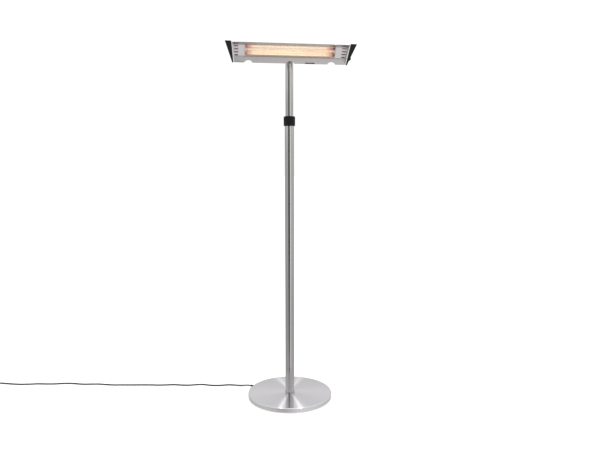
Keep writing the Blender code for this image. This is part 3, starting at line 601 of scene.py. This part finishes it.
def spun(outline, segments):
    """A closed outline of (radius, height[, form]) turned about Z; a point at radius 0 is a pole."""
    shape = bmesh.new()
    angles = [2 * pi * step / segments for step in range(segments)]
    rings = []
    for radius, height, *form in outline:
        if radius <= 1e-9:
            rings.append([shape.verts.new((0, 0, height))])
            continue
        ring = []
        for angle in angles:
            far = radius * (form[0](angle) if form else 1.0)
            ring.append(shape.verts.new((far * cos(angle), far * sin(angle), height)))
        rings.append(ring)
    for ring, other in zip(rings, rings[1:] + rings[:1]):
        for step in range(segments):
            after = (step + 1) % segments
            corners = [ring[step % len(ring)], ring[after % len(ring)],
                       other[after % len(other)], other[step % len(other)]]
            unique = [v for i, v in enumerate(corners) if v not in corners[:i]]
            if len(unique) > 2:
                shape.faces.new(unique)
    return shape


def rod(radius, low, high, segments):
    return spun([(0, low), (radius, low), (radius, high), (0, high)], segments)


def prism(outline, low, high, lean_low=0.0, lean_high=0.0):
    """An outline of (y, z) drawn out along X, whose ends lean along X with height."""
    shape = bmesh.new()
    ends = [
        [shape.verts.new((x + lean * z, y, z)) for y, z in outline]
        for x, lean in ((low, lean_low), (high, lean_high))
    ]
    for end in ends:
        shape.faces.new(end)
    bridge(shape, *ends)
    return shape


def box(low, high):
    outline = [(low[1], low[2]), (high[1], low[2]), (high[1], high[2]), (low[1], high[2])]
    return prism(outline, low[0], high[0])


def offset(path, distance):
    """A path of (y, z) shifted to its left by distance, with mitred corners."""
    normals = []
    for (y0, z0), (y1, z1) in zip(path, path[1:]):
        length = hypot(y1 - y0, z1 - z0)
        normals.append(((z0 - z1) / length, (y1 - y0) / length))
    shifted = []
    for index, (y, z) in enumerate(path):
        before = normals[max(index - 1, 0)]
        after = normals[min(index, len(normals) - 1)]
        scale = distance / (1 + before[0] * after[0] + before[1] * after[1])
        shifted.append((y + scale * (before[0] + after[0]), z + scale * (before[1] + after[1])))
    return shifted


def along(direction, at):
    """A frame at a point whose Z axis is the direction."""
    turn = Vector(direction).to_track_quat("Z", "Y").to_matrix().to_4x4()
    return Matrix.Translation(at) @ turn


def joined(*shapes):
    """One bmesh holding all the given ones."""
    whole = bmesh.new()
    for shape in shapes:
        mesh = bpy.data.meshes.new("part")
        shape.to_mesh(mesh)
        shape.free()
        whole.from_mesh(mesh)
        bpy.data.meshes.remove(mesh)
    return whole


def swept(points, radius, sides):
    """A tube of round section along points, with its ends closed."""
    shape = bmesh.new()
    rings = []
    normal = None
    for index, point in enumerate(points):
        tangent = points[min(index + 1, len(points) - 1)] - points[max(index - 1, 0)]
        tangent.normalize()
        if normal is None:
            normal = tangent.orthogonal().normalized()
        normal = (normal - tangent * normal.dot(tangent)).normalized()
        side = tangent.cross(normal)
        ring = []
        for step in range(sides):
            angle = 2 * pi * step / sides
            spoke = normal * (radius * cos(angle)) + side * (radius * sin(angle))
            ring.append(shape.verts.new(point + spoke))
        rings.append(ring)
    for ring, other in zip(rings, rings[1:]):
        bridge(shape, ring, other)
    shape.faces.new(rings[0])
    shape.faces.new(rings[-1])
    return shape


def smooth_path(points, spacing):
    """Points about spacing apart on a Catmull-Rom curve through the given points."""
    ends = [2 * points[0] - points[1]] + points + [2 * points[-1] - points[-2]]
    path = []
    for before, start, end, after in zip(ends, ends[1:], ends[2:], ends[3:]):
        steps = max(1, round((end - start).length / spacing))
        for step in range(steps):
            t = step / steps
            bend = (2 * before - 5 * start + 4 * end - after) * t * t
            twist = (3 * start - before - 3 * end + after) * t * t * t
            path.append((2 * start + (end - before) * t + bend + twist) / 2)
    return path + [points[-1]]


def cut(piece, shape, matrix):
    """Cuts a bmesh out of a piece for good."""
    bmesh.ops.recalc_face_normals(shape, faces=shape.faces)
    cutter = as_object("cutter", moved(shape, matrix))
    modifier = piece.modifiers.new("cut", "BOOLEAN")
    modifier.operation = "DIFFERENCE"
    modifier.object = cutter
    graph = bpy.context.evaluated_depsgraph_get()
    made = bpy.data.meshes.new_from_object(piece.evaluated_get(graph))
    old = piece.data
    piece.modifiers.remove(modifier)
    piece.data = made
    bpy.data.meshes.remove(old)
    bpy.data.objects.remove(cutter)


def soften(piece, width, segments=2, angle=SHARP_EDGE):
    """Rounds the piece's hard edges."""
    modifier = piece.modifiers.new("soften", "BEVEL")
    modifier.width = width
    modifier.segments = segments
    modifier.limit_method = "ANGLE"
    modifier.angle_limit = angle


# Base and pole


def make_base():
    """The spun steel shell, with its rounded rim in a satin finish."""
    inner = LOWER_RADIUS + GAP
    top, sheet = BASE_HEIGHT, COVER_SHEET
    outline = [
        (BASE_RADIUS, COVER_FOOT), (BASE_RADIUS, top), (inner, top), (inner, top - sheet),
        (BASE_RADIUS - sheet, top - sheet), (BASE_RADIUS - sheet, COVER_FOOT),
    ]
    outline = filleted(outline, [0.0003, BASE_RIM, 0.0005, 0.0003, BASE_RIM - sheet, 0.0003], 10)
    cover = finished("base_shell", "base_cover", spun(outline, 240), "circular_steel", "stand")
    cover.data.materials.append(LOOKS["satin_steel"])
    for face in cover.data.polygons:
        on_rim = hypot(face.center.x, face.center.y) > BASE_RADIUS - BASE_RIM / 2
        if on_rim and abs(face.normal.z) < 0.7:
            face.material_index = 1


def make_strain_relief():
    """A tapered boot where the lead leaves the base, with grooves that let it bend."""
    outward = at_exit_angle(1, 0)
    frame = along(outward, at_exit_angle(BASE_RADIUS, CORD_EXIT_HEIGHT))
    bore = CORD_RADIUS + GAP
    back, flange, neck, far = -0.0095, 0.0072, 0.0058, STRAIN_RELIEF_LENGTH
    outline = [
        (bore, back), (flange, back), (flange, -0.0023), (neck, -0.0023), (neck, GAP),
        (0.0080, GAP), (0.0082, 0.0008), (0.0080, 0.0018), (0.0066, 0.0024),
    ]
    for step in range(6):
        start = 0.0034 + step * (far - 0.0050) / 6
        wide = 0.0064 - 0.0014 * start / far
        outline += [(wide, start), (wide - 0.0001, start + 0.0022), (wide - 0.0007, start + 0.0026),
                    (wide - 0.0007, start + 0.0032)]
    outline += [(0.0050, far - 0.0010), (0.0046, far), (bore, far)]
    finished("cord_boot", "cord_strain_relief", spun(outline, 64), "rubber", "stand", frame)


def make_tube(name, node, radius, bottom, top, body):
    inner = radius - TUBE_WALL
    outline = filleted([(inner, bottom), (radius, bottom), (radius, top), (inner, top)], 0.0004, 3)
    finished(name, node, spun(outline, 128), "pole_steel", body)


def make_pole():
    make_tube("lower_pole", "lower_tube", LOWER_RADIUS, LOWER_BOTTOM, LOWER_TOP, "stand")
    make_tube("upper_pole", "upper_tube", UPPER_RADIUS, UPPER_BOTTOM, UPPER_TOP, "mast")


# Head


def head_piece(name, node, shape, look, local=None, soft=0.0, body="head"):
    """A piece made in the head's own frame."""
    piece = finished(name, node, shape, look, body, FACE if local is None else FACE @ local)
    if soft:
        soften(piece, soft)
    return piece


def inner_path():
    """The housing's inner outline, from the upper lip round the back to the lower lip."""
    upper = [(-LIP_OUT, LIP_HALF), (0.0, FACE_HALF), (BODY_DEPTH, REAR_HALF)]
    return upper + [(y, -z) for y, z in reversed(upper)]


def make_housing():
    inner = inner_path()
    outline = inner + offset(inner, SHELL)[::-1]
    inside, outside = [0.0008, 0.0015, 0.003, 0.003, 0.0015, 0.0008], [0.0008, 0.0035, 0.005]
    outline = filleted(outline, inside + outside + outside[::-1], 6)
    shape = prism(outline, -HEAD_HALF_LENGTH, HEAD_HALF_LENGTH, -HEAD_RAKE, HEAD_RAKE)
    shell = head_piece("head_shell", "housing", shape, "aluminium")
    slope = sqrt(0.5)
    for x in NOTCH_X:
        middle = Vector((x, -LIP_OUT - slope * NOTCH_OVER_LIP, -LIP_HALF - slope * NOTCH_OVER_LIP))
        disc = rod(NOTCH_RADIUS, -0.02, 0.02, 96)
        cut(shell, disc, FACE @ along((0, -slope, slope), middle))
    dressed(shell, "aluminium")
    soften(shell, 0.0004)


def raked(outline, ends, sign):
    """A prism between two raked ends, mirrored to the left where sign is -1."""
    (low, lean_low), (high, lean_high) = ends
    return prism(outline, sign * low, sign * high, sign * lean_low, sign * lean_high)


def make_head_ends():
    path = offset(inner_path(), SHELL)
    cap_path = offset(inner_path(), SHELL + CAP_MARGIN)
    front = -LIP_OUT - CAP_MARGIN
    plate_outline = [(-LIP_OUT, LIP_HALF)] + path + [(-LIP_OUT, -LIP_HALF)]
    cap_outline = [(front, CAP_TOP)] + cap_path[1:] + [(front, -cap_path[0][1] + 0.0005)]
    cap_outline = filleted(cap_outline, [0.003, 0.008, 0.007, 0.007, 0.008, 0.003, 0.003], 6)
    plate_start = HEAD_HALF_LENGTH + GAP
    cap_start = plate_start + END_PLATE + GAP
    well_radius, well_floor, beyond = 0.0049, 0.0055, 0.0305
    for side, sign in SIDES:
        ends = ((plate_start, HEAD_RAKE), (plate_start + END_PLATE, HEAD_RAKE))
        # The end flanges wear the brighter aluminium: a painted highlight along the head's ends
        head_piece("end_flange_" + side, "end_plate_" + side, raked(plate_outline, ends, sign),
                   "painted_highlight_aluminium", soft=0.0009)
        ends = ((cap_start, HEAD_RAKE), (CAP_OUTER, CAP_RAKE))
        cap = raked(cap_outline, ends, sign)
        cap = head_piece("moulded_cap_" + side, "end_cap_" + side, cap, "black_plastic")
        for number, (y, z) in enumerate(CAP_SCREWS, 1):
            seat = cap_start + HEAD_RAKE * z + well_floor
            local = along((sign, 0, 0), (0, y, z))
            cut(cap, rod(well_radius, seat, CAP_OUTER + beyond, 32), FACE @ local)
            make_screw(f"cap_fixing_{side}_{number}", f"cap_screw_{side}_{number}",
                       FACE @ local, seat + GAP, 0.0044, 0.0026, 0.0040, "head")
        if side == "right":
            make_power_control()
        dressed(cap, "black_plastic")
        soften(cap, 0.0011, 3, radians(40))


def make_screw(name, node, frame, seat, radius, height, shank, body):
    """A pan-head screw with a cross recess, whose head rises from its seat."""
    outline = [(0, seat - shank), (0.0020, seat - shank), (0.0020, seat), (radius, seat),
               (radius, seat + height * 0.45), (radius * 0.62, seat + height),
               (0, seat + height)]
    outline = filleted(outline, [0, 0.0003, 0, 0.0002, height * 0.4, height * 0.5, 0], 4)
    screw = finished(name, node, spun(outline, 32), "zinc_steel", body, frame)
    top, arm, half = seat + height, radius * 0.62, radius * 0.13
    for turn in (0, 90):
        slot = box((-arm, -half, top - height * 0.5), (arm, half, top + 0.001))
        cut(screw, slot, frame @ Matrix.Rotation(radians(turn + 20), 4, "Z"))
    dressed(screw, "zinc_steel")


def fluted(angle):
    return 1.0 - 0.028 * (1 + cos(18 * angle))


def make_power_control():
    """A fluted rotary knob with a pointer, and a ring of tick marks round it on the cap."""
    outward = Vector((1, 0, -CAP_RAKE)).normalized()
    local = along(outward, (CAP_OUTER + CAP_RAKE * KNOB_Z, KNOB_Y, KNOB_Z))
    radius, hole = KNOB_RADIUS, 0.0031
    knob = [(0, 0.0066), (hole, 0.0066), (hole, 0.0004), (radius, 0.0004), (radius, 0.0020),
            (radius - 0.0008, 0.0026, fluted), (radius - 0.0014, 0.0066, fluted),
            (radius - 0.0022, 0.0078), (radius - 0.0034, 0.0084), (radius - 0.0040, 0.0080),
            (0, 0.0078)]
    head_piece("control_knob", "power_knob", spun(knob, 144), "black_plastic", local,
               body="power_knob")
    pointer = box((-0.0004, 0.0015, 0.0077), (0.0004, 0.0058, 0.00815))
    head_piece("control_pointer", None, pointer, "white_mark", local, 0.0001, "power_knob")
    marks = []
    for turn in range(-120, 121, 40):
        mark = box((-0.00025, radius + 0.0012, 0.0), (0.00025, radius + 0.0028, 0.00012))
        marks.append(moved(mark, Matrix.Rotation(radians(turn), 4, "Z")))
    head_piece("control_marks", None, joined(*marks), "white_mark", local)


def make_louvres():
    """A sheet with four pressed louvres in front of each end compartment."""
    low, left, right, high = 0.2306, 0.2612, 0.2835, 0.2863
    pitch, slot, half = 0.0158, 0.0078, 0.0296
    front, back, foot, metal = 0.0004, 0.0014, 0.0012, 0.0006
    for side, sign in SIDES:
        mirror = Matrix.Scale(sign, 4, (1, 0, 0))
        outline = [(front, half), (back, half), (back, -half), (front, -half)]
        sheet = moved(prism(outline, low, high, 0.0, HEAD_RAKE), mirror)
        name = "louvre_sheet_" + side
        panel = head_piece(name, "louvre_panel_" + side, sheet, "panel_aluminium")
        for number in range(1, 5):
            centre = (number - 2.5) * pitch
            above = centre + slot / 2
            start, end = left + 0.0002, right + HEAD_RAKE * centre - 0.0002
            window = box((start + 0.0004, -0.002, centre - slot / 2), (end - 0.0004, 0.004, above))
            cut(panel, moved(window, mirror), FACE)
            hood = []
            for turn in (pi * step / 16 for step in range(9)):
                hood.append((foot + 0.0024 * sin(turn), above + 0.0004 - 0.0050 * (1 - cos(turn))))
            blade = prism(hood + offset(hood, metal)[::-1], start, end)
            cheek = hood + [(foot, hood[-1][1])]
            cheeks = [prism(cheek, x, x + metal) for x in (start, end - metal)]
            blade = moved(joined(blade, *cheeks), mirror)
            # The blades carry a painted pink lamp glow in their colour
            head_piece(f"louvre_{side}_{number}", None, blade, "painted_glow_aluminium")
        dressed(panel, "panel_aluminium")


def make_lamp():
    """A parabolic reflector, a quartz tube with its wound element, and two ceramic ends."""
    edge, sheet, reach = 0.001, 0.0008, CHAMBER_HALF_LENGTH - 2 * GAP
    heights = [REFLECTOR_HALF * (1 - step / 24) for step in range(49)]
    path = [(edge + REFLECTOR_DEPTH * (1 - (z / REFLECTOR_HALF) ** 2), z) for z in heights]
    outline = path + offset(path, sheet)[::-1]
    head_piece("bright_reflector", "reflector", prism(outline, -reach, reach),
               "mirror_aluminium")
    axis = along((1, 0, 0), (0, LAMP_Y, 0))
    wall, half = LAMP_RADIUS - 0.0012, LAMP_HALF_LENGTH
    glass = filleted([(wall, -half), (LAMP_RADIUS, -half), (LAMP_RADIUS, half), (wall, half)],
                     0.0005, 3)
    head_piece("quartz_tube", "lamp_tube", spun(glass, 48), "quartz", axis)
    turns, per_turn, long, wide = 150, 10, 0.430, 0.0019
    helix = []
    for step in range(turns * per_turn + 1):
        angle = 2 * pi * step / per_turn
        helix.append(Vector((wide * cos(angle), wide * sin(angle),
                             -long / 2 + long * step / (turns * per_turn))))
    head_piece("wound_filament", "heating_element", swept(helix, 0.0005, 5), "element", axis)
    length, deep, high = LAMP_END_SIZE
    start = LAMP_HALF_LENGTH + GAP
    for side, sign in SIDES:
        mirror = Matrix.Scale(sign, 4, (1, 0, 0))
        block = box((start, LAMP_Y - deep / 2, -high / 2),
                    (start + length, LAMP_Y + deep / 2, high / 2))
        end = head_piece("ceramic_end_" + side, "lamp_end_" + side, moved(block, mirror),
                         "ceramic")
        for z in (-0.0040, 0.0040):
            groove = box((start + 0.004, LAMP_Y - deep / 2 - 0.001, z - 0.0008),
                         (start + length - 0.004, LAMP_Y - deep / 2 + 0.0012, z + 0.0008))
            cut(end, moved(groove, mirror), FACE)
        dressed(end, "ceramic")
        soften(end, 0.0009)


def make_guard():
    """Welded wires in front of the reflector: four along the head, many across them."""
    reach, rise = CHAMBER_HALF_LENGTH - 0.0015, 0.0286
    thick, thin, at_ends, meshes_along = 0.00065, 0.00045, 0.0009, 28
    wires = []
    for z in (-rise, -rise / 3, rise / 3, rise):
        path = [Vector((-reach, -0.0013, z)), Vector((reach, -0.0013, z))]
        wires.append(swept(path, thick, 10))
    for step in range(meshes_along + 1):
        x = -reach + 2 * reach * step / meshes_along
        path = [Vector((x, -0.0012, -rise)), Vector((x, -0.0012, rise))]
        wires.append(swept(path, at_ends if step in (0, meshes_along) else thin, 8))
    head_piece("wire_guard", "guard_grille", joined(*wires), "wire")
    rail = [(-0.0004, -0.0210), (-0.0004, -0.0297), (0.0030, -0.0290), (0.0030, -0.0284),
            (0.0004, -0.0289), (0.0004, -0.0210)]
    # The rail's colour holds painted shade and a painted warm lamp glow
    head_piece("guard_rail", None, prism(rail, -reach, reach), "painted_shade_glow_steel",
               soft=0.0002)


def hexagon(angle):
    """The radius of a hexagon as a share of its corner's radius."""
    return cos(pi / 6) / cos(angle % (pi / 3) - pi / 6)


def gland_frame():
    """On the outside of the housing's lower wall, with Z pointing away from the head."""
    outer = offset(inner_path(), SHELL)
    (y0, z0), (y1, z1) = outer[3], outer[4]
    share = (GLAND_Y - y0) / (y1 - y0)
    return along(Vector((0, z0 - z1, y1 - y0)), (0, GLAND_Y, z0 + share * (z1 - z0)))


def make_gland():
    bore = 0.0037
    outline = [
        (bore, -0.0060), (0.0080, -0.0060), (0.0080, -SHELL - 2 * GAP), (0.0056, -SHELL - 2 * GAP),
        (0.0056, GAP), (0.0084, GAP, hexagon), (0.0084, 0.0040, hexagon), (0.0070, 0.0044),
        (0.0068, 0.0058), (0.0060, 0.0076), (0.0050, 0.0088), (bore, 0.0090),
    ]
    head_piece("cable_gland", "head_gland", spun(outline, 96), "black_plastic", gland_frame())


# Mast, tilt joint and collar


def make_yoke():
    """A U of steel strip on the pole's top, with rounded bends and ears."""
    bottom, half = UPPER_TOP + GAP, YOKE_HALF_WIDTH
    top = TILT_AXIS.z + EAR_RADIUS + 0.001
    bent = [(-half, top), (-half, bottom), (half, bottom), (half, top)]
    outline = bent + offset(bent, YOKE_SHEET)[::-1]
    outline = filleted(outline, [0, 0.0045, 0.0045, 0, 0, 0.0018, 0.0018, 0], 6)
    swap = Matrix(((0, 1, 0, 0), (1, 0, 0, 0), (0, 0, 1, 0), (0, 0, 0, 1)))
    front, back = -0.015, 0.020
    strip = moved(prism(outline, front, back), swap)
    yoke = finished("bent_yoke", "yoke", strip, "zinc_steel", "mast")
    centre = (TILT_AXIS.y, TILT_AXIS.z)
    ear = [(centre[0] + EAR_RADIUS * cos(radians(a)), centre[1] + EAR_RADIUS * sin(radians(a)))
           for a in range(-10, 191, 10)]
    above, away, foot = top + 0.02, 0.06, bottom + 0.0035
    left = [(-away, above), (-away, foot), (front, foot), ear[-1]]
    right = [ear[0], (back, foot), (away, foot), (away, above)]
    outside = left + ear[::-1][1:-1] + right
    cut(yoke, prism(outside, -0.05, 0.05), Matrix.Identity(4))
    holes = [((x, 0.0), 0.0028) for x in (-YOKE_SCREW_X, YOKE_SCREW_X)]
    holes.append(((0.0, HEAD_LEAD_Y), HEAD_LEAD_RADIUS + 0.0004))
    for (x, y), radius in holes:
        drill = rod(radius, bottom - 0.01, bottom + 0.01, 32)
        cut(yoke, drill, Matrix.Translation((x, y, 0)))
    cut(yoke, rod(TILT_BOLT_RADIUS + GAP, -0.05, 0.05, 32), along((1, 0, 0), TILT_AXIS))
    dressed(yoke, "zinc_steel")
    soften(yoke, 0.0004)


def lobed(angle):
    return 1.0 + 0.085 * cos(5 * angle)


def make_tilt_hardware():
    axis = along((1, 0, 0), TILT_AXIS)
    start = -YOKE_HALF_WIDTH - GAP
    bolt = [
        (0, start - 0.0053), (0.0060, start - 0.0053), (0.0074, start - 0.0046, hexagon),
        (0.0074, start - 0.0010, hexagon), (0.0070, start - 0.0009), (0.0070, start),
        (TILT_BOLT_RADIUS, start), (TILT_BOLT_RADIUS, 0.0346), (TILT_BOLT_RADIUS - 0.0004, 0.0350),
        (0, 0.0350),
    ]
    finished("pivot_bolt", "tilt_bolt", spun(bolt, 96), "zinc_steel", "mast", axis)
    start, bore = YOKE_HALF_WIDTH + GAP, TILT_BOLT_RADIUS + GAP
    knob = [
        (0, 0.0360), (bore, 0.0360), (bore, start), (0.0093, start), (0.0095, start + 0.0036),
        (0.0120, start + 0.0046, lobed), (0.0136, start + 0.0060, lobed),
        (0.0138, start + 0.0145, lobed), (0.0130, start + 0.0170, lobed),
        (0.0112, start + 0.0190, lobed), (0.0090, start + 0.0198), (0.0076, start + 0.0198),
        (0.0070, start + 0.0190), (0, start + 0.0188),
    ]
    finished("hand_knob", "tilt_knob", spun(knob, 160), "black_plastic", "tilt_knob", axis)
    seat = UPPER_TOP + 2 * GAP + YOKE_SHEET
    for side, sign in SIDES:
        at = Matrix.Translation((sign * YOKE_SCREW_X, 0, 0))
        make_screw("mast_fixing_" + side, "yoke_screw_" + side, at, seat, 0.0046, 0.0028, 0.020,
                   "mast")
    seat = BODY_DEPTH + SHELL + 2 * GAP + BRACKET_SHEET
    for side, sign in SIDES:
        at = FACE @ along((0, 1, 0), (sign * BRACKET_SCREW_X, 0, 0))
        make_screw("bracket_fixing_" + side, "bracket_screw_" + side, at, seat, 0.0046, 0.0026,
                   0.006, "head")


def ribbed(angle):
    return 1.0 - 0.012 * (1 + cos(36 * angle))


def make_collar():
    bore, sleeve, neck_top = LOWER_RADIUS + GAP, 0.0232, 1.4905
    socket = [
        (bore, COLLAR_BOTTOM), (COLLAR_RADIUS - 0.0015, COLLAR_BOTTOM),
        (COLLAR_RADIUS, COLLAR_BOTTOM + 0.0020), (COLLAR_RADIUS, COLLAR_SPLIT - GAP - 0.0006),
        (COLLAR_RADIUS - 0.0006, COLLAR_SPLIT - GAP), (NECK_RADIUS, COLLAR_SPLIT - GAP),
        (NECK_RADIUS, neck_top), (sleeve, neck_top), (sleeve, LOWER_TOP + GAP),
        (bore, LOWER_TOP + GAP),
    ]
    socket = filleted(socket, [0, 0.001, 0.002, 0.0005, 0.0005, 0, 0, 0, 0, 0], 4)
    finished("clamp_socket", "collar_socket", spun(socket, 128), "black_plastic", "stand")
    wide, top, inner = COLLAR_RADIUS, COLLAR_TOP, UPPER_RADIUS + 2 * GAP
    round_off, roof, skirt = 0.0056, 1.4980, 0.0234
    shoulder = [(wide - round_off * (1 - cos(a)), top - round_off * (1 - sin(a)))
                for a in (radians(step) for step in range(0, 91, 10))]
    nut = [(NECK_RADIUS + 0.0004, COLLAR_SPLIT), (wide - 0.0004, COLLAR_SPLIT),
           (wide, COLLAR_SPLIT + 0.0006), (wide, COLLAR_SPLIT + 0.0030),
           (wide, COLLAR_SPLIT + 0.0040, ribbed), (wide, top - 0.0085, ribbed),
           (wide, top - 0.0072)]
    nut += shoulder
    nut += [(inner + 0.0006, top), (inner, top - 0.0006), (inner, roof), (skirt, roof),
            (skirt, neck_top + 0.0005), (NECK_RADIUS + 0.0004, neck_top + 0.0005)]
    finished("clamp_nut", "collar_nut", spun(nut, 288), "black_plastic", "collar_nut")


def make_head_lead():
    """The lead from the upper tube into the head's gland."""
    gland = FACE @ gland_frame()
    mouth, inner_end = gland @ Vector((0, 0, 0.0090)), gland @ Vector((0, 0, -0.0058))
    top = UPPER_TOP
    points = [Vector((0, 0, top - 0.0825)), Vector((0, -0.0045, top - 0.0475))]
    points += [Vector((0, HEAD_LEAD_Y, top + rise)) for rise in (-0.0345, -0.0125, 0.0055, 0.0155)]
    points += [gland @ Vector((0, 0, 0.0140)), mouth, inner_end]
    straight = [Vector((0, 0, height)) for height in (HEAD_LEAD_FOOT, 1.3, 1.55)]
    path = straight + smooth_path(points, 0.003)
    lead = shaped("jumper_lead", swept(path, HEAD_LEAD_RADIUS, 16), "rubber")
    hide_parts("head_lead")
    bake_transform(lead)


# Mains lead


def at_exit_angle(reach, height):
    """A point that far from the pole's axis, in the direction where the lead leaves the base."""
    return Vector((reach * cos(CORD_EXIT_ANGLE), reach * sin(CORD_EXIT_ANGLE), height))


def eased(share):
    share = min(max(share, 0.0), 1.0)
    return share * share * (3 - 2 * share)


def coil_points(resting):
    """Two turns beside each other on the floor, then one and a quarter on top of them."""
    thick = 2 * CORD_RADIUS
    outer, inner = COIL_RADIUS + thick / 2, COIL_RADIUS - thick / 2
    lift = thick * sqrt(3) / 2
    passing = radians(50)
    points = []
    steps = round(COIL_TURNS * 24)
    for step in range(1, steps + 1):
        turned = 2 * pi * COIL_TURNS * step / steps
        angle = radians(90) + turned
        inward = eased((turned - (2 * pi - passing)) / passing)
        upward = eased((turned - (4 * pi - passing)) / passing)
        radius = outer + (inner - outer) * inward + (COIL_RADIUS - inner) * upward
        height = resting + lift * upward
        points.append(Vector((COIL_CENTRE[0] + radius * cos(angle),
                              COIL_CENTRE[1] + radius * sin(angle), height)))
    return points


def make_mains_lead():
    resting = CORD_RADIUS + FLOOR_CLEARANCE
    exit_point = at_exit_angle(BASE_RADIUS + STRAIN_RELIEF_LENGTH + GAP, CORD_EXIT_HEIGHT)
    heights = [0.0112, 0.0078, 0.0052]
    points = [at_exit_angle(BASE_RADIUS + STRAIN_RELIEF_LENGTH - 0.004, CORD_EXIT_HEIGHT),
              exit_point]
    for index, (x, y) in enumerate(CORD_ROUTE):
        height = heights[index] if index < len(heights) else resting
        points.append(Vector((x, y, height)))
    points.append(Vector((COIL_CENTRE[0], COIL_CENTRE[1] + COIL_RADIUS + CORD_RADIUS, resting)))
    turns = coil_points(resting)
    points += turns
    side = COIL_CENTRE[0] - COIL_RADIUS
    plug_start = COIL_CENTRE[1] - PLUG_BACK
    points += [Vector((side, COIL_CENTRE[1] - 0.020, turns[-1].z + 0.0012)),
               Vector((side, COIL_CENTRE[1] - 0.045, PLUG_HEIGHT - 0.0004)),
               Vector((side, plug_start - 0.003, PLUG_HEIGHT))]
    curve = bpy.data.curves.new("mains_lead", "CURVE")
    curve.dimensions = "3D"
    curve.bevel_depth = CORD_RADIUS
    curve.bevel_resolution = 4
    curve.resolution_u = 6
    curve.use_fill_caps = True
    spline = curve.splines.new("BEZIER")
    spline.bezier_points.add(len(points) - 1)
    for knot, at in zip(spline.bezier_points, points):
        knot.co = at
        knot.handle_left_type = knot.handle_right_type = "AUTO"
    curve.materials.append(LOOKS["rubber"])
    lead = bpy.data.objects.new("mains_lead", curve)
    bpy.context.scene.collection.objects.link(lead)
    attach(lead, "stand")
    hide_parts("mains_cord", "cord_coil", "plug_lead")


def make_plug():
    """A moulded plug with two round pins, lying by the coil."""
    start = Vector((COIL_CENTRE[0] - COIL_RADIUS, COIL_CENTRE[1] - PLUG_BACK, PLUG_HEIGHT))
    frame = Matrix.Translation(start) @ Matrix.Rotation(radians(90), 4, "X")
    outline = [(0, 0), (0.0052, 0), (0.0055, 0.0006)]
    for step in range(5):
        wide, at = 0.0058 + 0.00028 * step, 0.0030 + 0.0052 * step
        outline += [(wide, at), (wide + 0.0001, at + 0.0032), (wide - 0.0007, at + 0.0036),
                    (wide - 0.0007, at + 0.0048)]
    outline += [(0.0076, 0.0300), (0.0098, 0.0325), (0.0130, 0.0362), (0.0160, 0.0405),
                (0.0178, 0.0445), (0.0180, 0.0480), (0.0172, 0.0520), (0.0170, 0.0560),
                (0.0176, 0.0600), (0.0180, 0.0640), (0.0178, 0.0675), (0.0165, 0.0695),
                (0.0150, 0.0700), (0, 0.0700)]
    shape = moved(spun(outline, 72), Matrix.Scale(PLUG_FLATNESS, 4, (0, 1, 0)))
    finished("moulded_plug", "plug_body", shape, "black_plastic", "stand", frame)
    pin = [(0, 0.0703), (0.0024, 0.0703), (0.0024, 0.0868), (0.0021, 0.0880), (0.0014, 0.0891),
           (0.0007, 0.0893), (0, 0.0893)]
    for side, sign in SIDES:
        at = frame @ Matrix.Translation((sign * PLUG_PIN_X, 0, 0))
        finished("round_pin_" + side, "plug_pin_" + side, spun(pin, 32), "zinc_steel", "stand", at)


def make_cord_tie():
    """A flat strap once round the coil's turns."""
    thick = 2 * CORD_RADIUS
    low, high = FLOOR_CLEARANCE, thick + thick * sqrt(3) / 2 + 0.0012
    half = thick + 0.0010
    loop = filleted([(-half, low), (half, low), (half * 0.62, high), (-half * 0.62, high)],
                    [0.0030, 0.0030, 0.0042, 0.0042], 6)
    outer = offset(loop + loop[:2], 0.0011)[1:-1]
    inner = loop[1:] + loop[:1]
    shape = bmesh.new()
    width = 0.0045
    rings = []
    for ring, side in ((inner, -width), (outer, -width), (outer, width), (inner, width)):
        rings.append([shape.verts.new((COIL_CENTRE[0] + COIL_RADIUS + far, COIL_CENTRE[1] + side,
                                       height)) for far, height in ring])
    for ring, other in zip(rings, rings[1:] + rings[:1]):
        bridge(shape, ring, other)
    finished("cord_tie", None, shape, "rubber", "stand")


make_camera()
LOOKS = make_materials()
make_world()
make_stage()
dress_cad_nodes()
make_plug()
make_cord_tie()
make_strain_relief()
make_mains_lead()
make_base()
make_pole()
make_housing()
make_head_ends()
make_louvres()
make_lamp()
make_guard()
make_gland()
make_yoke()
make_tilt_hardware()
make_collar()
make_head_lead()

bpy.context.scene.view_settings.view_transform = "Standard"
